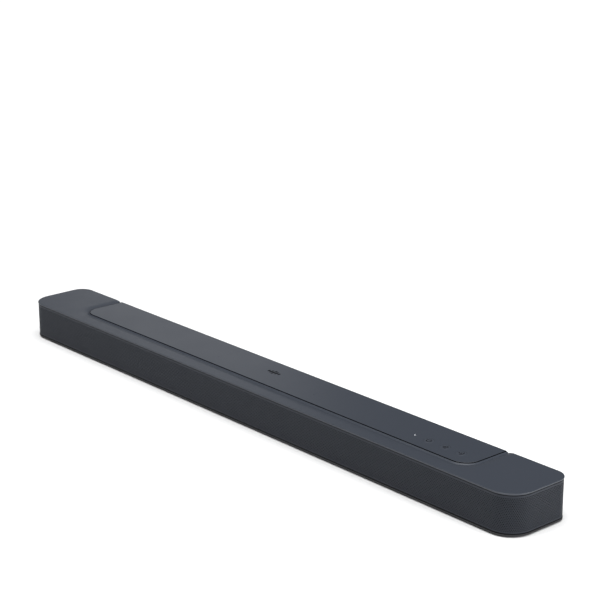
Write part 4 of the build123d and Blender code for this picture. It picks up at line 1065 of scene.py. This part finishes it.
class SOUNDBAR_OT_finishes(bpy.types.Operator):
    """Gives every CAD node the material of its slot"""

    bl_idname = "soundbar.finishes"
    bl_label = "Finishes"

    def execute(self, context):
        for part in frame["record"]["subparts"]:
            mesh = frame["nodes"][part["node"]].data
            mesh.materials.clear()
            maker = NODE_FINISHES.get(part["node"], SLOT_FINISHES[part["material_slot"]])
            mesh.materials.append(finish_of(maker))
        return {"FINISHED"}


class SOUNDBAR_OT_grille(bpy.types.Operator):
    """The perforated steel grille round the front and both ends"""

    bl_idname = "soundbar.grille"
    bl_label = "Perforated grille"

    def execute(self, context):
        for name, shape in grille_shapes(context.scene.soundbar_grille).items():
            piece = put(name, shape, "housing", powder_coated_steel)
            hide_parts("front_grille")
        return {"FINISHED"}


class SOUNDBAR_OT_key_symbols(bpy.types.Operator):
    """The symbols printed on the three keys"""

    bl_idname = "soundbar.key_symbols"
    bl_label = "Key symbols"

    def execute(self, context):
        ink = context.scene.soundbar_print
        drawings = {
            "power_button": self.power(ink.symbol, ink.line),
            "source_button": self.source(ink.symbol, ink.line),
            "pairing_button": self.pairing(ink.symbol, ink.line),
        }
        for key, shapes in drawings.items():
            middle, _, high = origin_of(key)
            shape = printed(shapes, (middle[0], middle[1], high[2]), (1, 0, 0), (0, 1, 0), ink.film)
            put(key.replace("button", "symbol"), shape, key, screen_ink)
        return {"FINISHED"}

    @staticmethod
    def power(reach, line):
        """A ring open at its top, with a short bar in the opening."""
        ring = strip(arc((0, 0), 0.85 * reach, 125, 415), line)
        bar = strip([(0, 0.25 * reach), (0, 1.1 * reach)], line)
        return [ring, bar]

    @staticmethod
    def source(reach, line):
        """An arrow that runs into a frame open on its left."""
        edge = 0.8 * reach
        case = strip([(-0.2 * reach, edge), (edge, edge), (edge, -edge), (-0.2 * reach, -edge)], line)
        shaft = strip([(-reach, 0), (0.2 * reach, 0)], line)
        head = strip([(-0.2 * reach, 0.45 * reach), (0.25 * reach, 0), (-0.2 * reach, -0.45 * reach)], line)
        return [case, shaft, head]

    @staticmethod
    def pairing(reach, line):
        """A dot with two arcs of waves on its right."""
        dot = strip(arc((-0.8 * reach, 0), line / 2, 0, 350), line * 0.98)
        near = strip(arc((-0.8 * reach, 0), 0.8 * reach, -50, 50), line)
        far = strip(arc((-0.8 * reach, 0), 1.5 * reach, -50, 50), line)
        return [dot, near, far]


class SOUNDBAR_OT_edge_seal(bpy.types.Operator):
    """A near-black sheet of painted shade in the gap round the control panel, drawn as a foam seal"""

    bl_idname = "soundbar.edge_seal"
    bl_label = "Panel shade seal"

    def execute(self, context):
        low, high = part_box("control_panel")
        half = SHADE_SEAL_SHEET / 2 + SHADE_SEAL_CLEARANCE
        corner = PANEL_CORNER + half
        left = low[0] - half
        right = high[0] + half
        front = low[1] - half
        path = np.vstack(
            [
                [(left, high[1])],
                arc((left + corner, front + corner), corner, 180, 270),
                arc((right - corner, front + corner), corner, 270, 360),
                [(right, high[1])],
            ]
        )
        flat, faces = strip(path, SHADE_SEAL_SHEET)
        top = np.column_stack([flat, np.full(len(flat), high[2] - SHADE_SEAL_BELOW_FACE)])
        bottom = np.column_stack([flat, np.full(len(flat), low[2])])
        # painted shade: the near-black sheet fills the gap so that it reads as the shadow in it
        put("panel_painted_shade_seal", closed_sheet(faces, top, bottom), "housing", painted_shade_foam)
        return {"FINISHED"}


class SOUNDBAR_OT_seam_gaskets(bpy.types.Operator):
    """Near-black sheets of painted shade in the seams above and below the grille, drawn as foam gaskets"""

    bl_idname = "soundbar.seam_gaskets"
    bl_label = "Seam shade gaskets"

    def execute(self, context):
        low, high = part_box("front_grille")
        seams = {
            "upper_painted_shade_gasket": (high[2] - GRILLE_TRIM, high[2] + GRILLE_SEAM),
            "lower_painted_shade_gasket": (low[2] - GRILLE_SEAM, low[2] + GRILLE_TRIM),
        }
        columns = SHADE_GASKET_COLUMNS
        total = sum(length for length, _ in grille_runs())
        plan, outward = along_grille(np.linspace(0, total, columns))
        outer = np.tile(plan - outward * SHADE_GASKET_SET_BACK, (2, 1))
        inner = np.tile(plan - outward * (SHADE_GASKET_SET_BACK + SHADE_GASKET_SHEET), (2, 1))
        first = np.arange(columns - 1)
        faces = np.stack([first, first + 1, first + columns + 1, first + columns], axis=1)
        for name, (bottom, top) in seams.items():
            height = np.repeat([bottom + SHADE_SEAL_CLEARANCE, top - SHADE_SEAL_CLEARANCE], columns)
            shape = closed_sheet(faces, np.column_stack([outer, height]), np.column_stack([inner, height]))
            # painted shade: each near-black sheet fills a seam so that it reads as the shadow in it
            put(name, shape, "housing", painted_shade_foam)
        return {"FINISHED"}


class SOUNDBAR_OT_contacts(bpy.types.Operator):
    """The gold contacts, the mains pins and the lens inside the sockets"""

    bl_idname = "soundbar.contacts"
    bl_label = "Socket contacts"

    def execute(self, context):
        for name in ("hdmi_in", "hdmi_out"):
            middle, _, high = origin_of(name + "_socket")
            above = np.arange(-4.5, 5) * MM
            below = np.arange(-4, 4.5) * MM
            tongue = (middle[0], high[1] - TONGUE_SET_BACK, middle[2])
            self.fingers(name + "_contacts", tongue, {1: above, -1: below}, 0.8 * MM, (0.45 * MM, 6 * MM))
        middle, _, high = origin_of("usb_socket")
        tongue = (middle[0], high[1] - TONGUE_SET_BACK, middle[2] + 1.2 * MM)
        spots = np.array([-3.5, -1, 1, 3.5]) * MM
        self.fingers("usb_contacts", tongue, {-1: spots}, 0.95 * MM, (1.0 * MM, 7 * MM))
        self.pins()
        self.lens()
        return {"FINISHED"}

    def fingers(self, name, tongue, rows, reach, size):
        """Thin plated strips on the tongue's upper (1) and lower (-1) faces, running back from its tip."""
        width, length = size
        points = []
        for side, spots in rows.items():
            shapes = [strip([(x, -length - width), (x, -width)], width) for x in spots]
            face = (tongue[0], tongue[1], tongue[2] + side * reach)
            points.append(printed(shapes, face, (side, 0, 0), (0, 1, 0), PLATING))
        put(name, merged(points), "housing", gold_plating)

    def pins(self):
        """Nickel-plated sleeves over the inlet's two pins, with rounded noses."""
        middle, _, high = origin_of("power_inlet")
        foot = high[1] - INLET_CAVITY
        radii = np.array([0, 1.25, 1.25, 1.15, 0.8, 0]) * MM
        heights = np.array([0, 0, 10.9, 11.15, 11.3, 11.35]) * MM
        for name, side in (("left", -1), ("right", 1)):
            spot = (middle[0] + side * INLET_PIN_X, foot, middle[2])
            shape = turned(radii, heights, spot, (0, 1, 0), (0, 0, 1))
            put(f"{name}_mains_pin", shape, "housing", nickel_plated_steel, smooth=True)

    def lens(self):
        """The optical detector's collar and domed lens on the socket's inner wall."""
        middle, _, high = origin_of("optical_socket")
        spot = (middle[0], high[1] - OPTICAL_CAVITY, middle[2] - 0.8 * MM)
        radii = np.array([0, 2.6, 2.6, 1.7, 1.5, 1.1, 0.6, 0]) * MM
        heights = np.array([0, 0, 0.6, 0.6, 1.3, 1.8, 2.0, 2.05]) * MM
        shape = turned(radii, heights, spot, (0, 1, 0), (0, 0, 1))
        put("optical_lens", shape, "housing", lens_acrylic)


class SOUNDBAR_OT_bay_marks(bpy.types.Operator):
    """Plain marks above the sockets in both connector bays"""

    bl_idname = "soundbar.bay_marks"
    bl_label = "Bay marks"

    def execute(self, context):
        ink = context.scene.soundbar_print
        reach = 2.2 * MM
        line = 0.5 * MM
        frame_in = SOUNDBAR_OT_key_symbols.source(reach, line)
        shaft = strip([(-0.2 * reach, 0), (reach, 0)], line)
        head = strip([(0.55 * reach, 0.45 * reach), (reach, 0), (0.55 * reach, -0.45 * reach)], line)
        edge = 0.8 * reach
        case = strip([(0.2 * reach, edge), (-edge, edge), (-edge, -edge), (0.2 * reach, -edge)], line)
        ring = strip(arc((0, 0), 0.85 * reach, 0, 355), line)
        dot = strip(arc((0, 0), 0.15 * reach, 0, 340), 0.25 * reach)
        low_y = -0.5 * reach
        port = strip([(-reach, -low_y), (reach, -low_y), (reach, low_y), (-reach, low_y)], line)
        x = np.linspace(-reach, reach, 24)
        wave = strip(np.stack([x, 0.5 * reach * np.sin(x / reach * math.pi)], axis=1), line)
        marks = {
            "optical": ("signal_bay", [ring, dot]),
            "usb": ("signal_bay", [port]),
            "hdmi_in": ("signal_bay", frame_in),
            "hdmi_out": ("signal_bay", [case, shaft, head]),
            "power": ("power_bay", [wave]),
        }
        for name, (bay, shapes) in marks.items():
            socket = "power_inlet" if name == "power" else name + "_socket"
            low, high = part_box(bay)
            spot = (origin_of(socket)[0][0], low[1] + BAY_WALL, high[2] - MARK_BELOW_BAY)
            shape = printed(shapes, spot, (-1, 0, 0), (0, 0, 1), ink.film)
            put(name + "_mark", shape, "housing", pale_ink)
        return {"FINISHED"}


class SOUNDBAR_OT_rating_plate(bpy.types.Operator):
    """The blank rating plate under the bar, with its printed frame"""

    bl_idname = "soundbar.rating_plate"
    bl_label = "Rating plate"

    def execute(self, context):
        ink = context.scene.soundbar_print
        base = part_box("bottom_cover")[0][2]
        down = {"across": (-1, 0, 0), "up": (0, 1, 0)}
        plate = rounded_plate(PLATE_LENGTH, PLATE_WIDTH, 2 * MM)
        foil = printed([plate], (0, PLATE_Y, base), thickness=PLATE_SHEET, **down)
        put("rating_plate", foil, "housing", satin_foil)
        x = PLATE_LENGTH / 2 - 3 * MM
        y = PLATE_WIDTH / 2 - 3 * MM
        line = 0.4 * MM
        rim = strip([(0, y), (x, y), (x, -y), (-x, -y), (-x, y), (0, y)], line)
        divider = strip([(-x + line, 0), (x - line, 0)], line)
        lines = printed([rim, divider], (0, PLATE_Y, base - PLATE_SHEET), thickness=ink.film, **down)
        put("rating_plate_lines", lines, "housing", pale_ink)
        return {"FINISHED"}


class SOUNDBAR_OT_emblem(bpy.types.Operator):
    """A plain mark of five sound bars printed on the control panel"""

    bl_idname = "soundbar.emblem"
    bl_label = "Emblem"

    def execute(self, context):
        ink = context.scene.soundbar_print
        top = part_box("control_panel")[1][2]
        places = np.linspace(-0.5, 0.5, 5)
        heights = ink.emblem_height * (1 - 1.1 * np.abs(places))
        width = ink.emblem_length / 7
        shapes = [
            capsule((place * (ink.emblem_length - width), 0), height, width)
            for place, height in zip(places, heights)
        ]
        shape = printed(shapes, (0, ink.emblem_y, top), (1, 0, 0), (0, 1, 0), ink.film)
        put("panel_emblem", shape, "housing", screen_ink)
        return {"FINISHED"}


CLASSES = (
    SoundbarFinish,
    SoundbarGrille,
    SoundbarPrint,
    SoundbarStage,
    SOUNDBAR_OT_stage,
    SOUNDBAR_OT_finishes,
    SOUNDBAR_OT_grille,
    SOUNDBAR_OT_key_symbols,
    SOUNDBAR_OT_emblem,
    SOUNDBAR_OT_edge_seal,
    SOUNDBAR_OT_seam_gaskets,
    SOUNDBAR_OT_contacts,
    SOUNDBAR_OT_bay_marks,
    SOUNDBAR_OT_rating_plate,
)


class SOUNDBAR_PT_panel(bpy.types.Panel):
    """Lists the soundbar's settings and the steps that build its looks"""

    bl_idname = "SOUNDBAR_PT_panel"
    bl_label = "Soundbar"
    bl_space_type = "VIEW_3D"
    bl_region_type = "UI"
    bl_category = "Soundbar"

    def draw(self, context):
        for group in SETTINGS:
            settings = getattr(context.scene, group)
            box = self.layout.box()
            box.label(text=settings.__doc__)
            for name in settings.bl_rna.properties.keys():
                if name not in ("rna_type", "name"):
                    box.prop(settings, name)
        for step in STEPS:
            self.layout.operator(step.bl_idname)


SETTINGS = {
    "soundbar_finish": SoundbarFinish,
    "soundbar_grille": SoundbarGrille,
    "soundbar_print": SoundbarPrint,
    "soundbar_stage": SoundbarStage,
}
STEPS = [item for item in CLASSES if issubclass(item, bpy.types.Operator)]


def register():
    for item in CLASSES + (SOUNDBAR_PT_panel,):
        bpy.utils.register_class(item)
    for name, group in SETTINGS.items():
        setattr(bpy.types.Scene, name, PointerProperty(type=group))


def unregister():
    for name in SETTINGS:
        delattr(bpy.types.Scene, name)
    for item in reversed(CLASSES + (SOUNDBAR_PT_panel,)):
        bpy.utils.unregister_class(item)


def main():
    """Registers the add-on and runs its steps in order."""
    register()
    bpy.ops.soundbar.stage()
    bpy.ops.soundbar.finishes()
    bpy.ops.soundbar.grille()
    bpy.ops.soundbar.key_symbols()
    bpy.ops.soundbar.emblem()
    bpy.ops.soundbar.edge_seal()
    bpy.ops.soundbar.seam_gaskets()
    bpy.ops.soundbar.contacts()
    bpy.ops.soundbar.bay_marks()
    bpy.ops.soundbar.rating_plate()


if __name__ == "__main__":
    main()
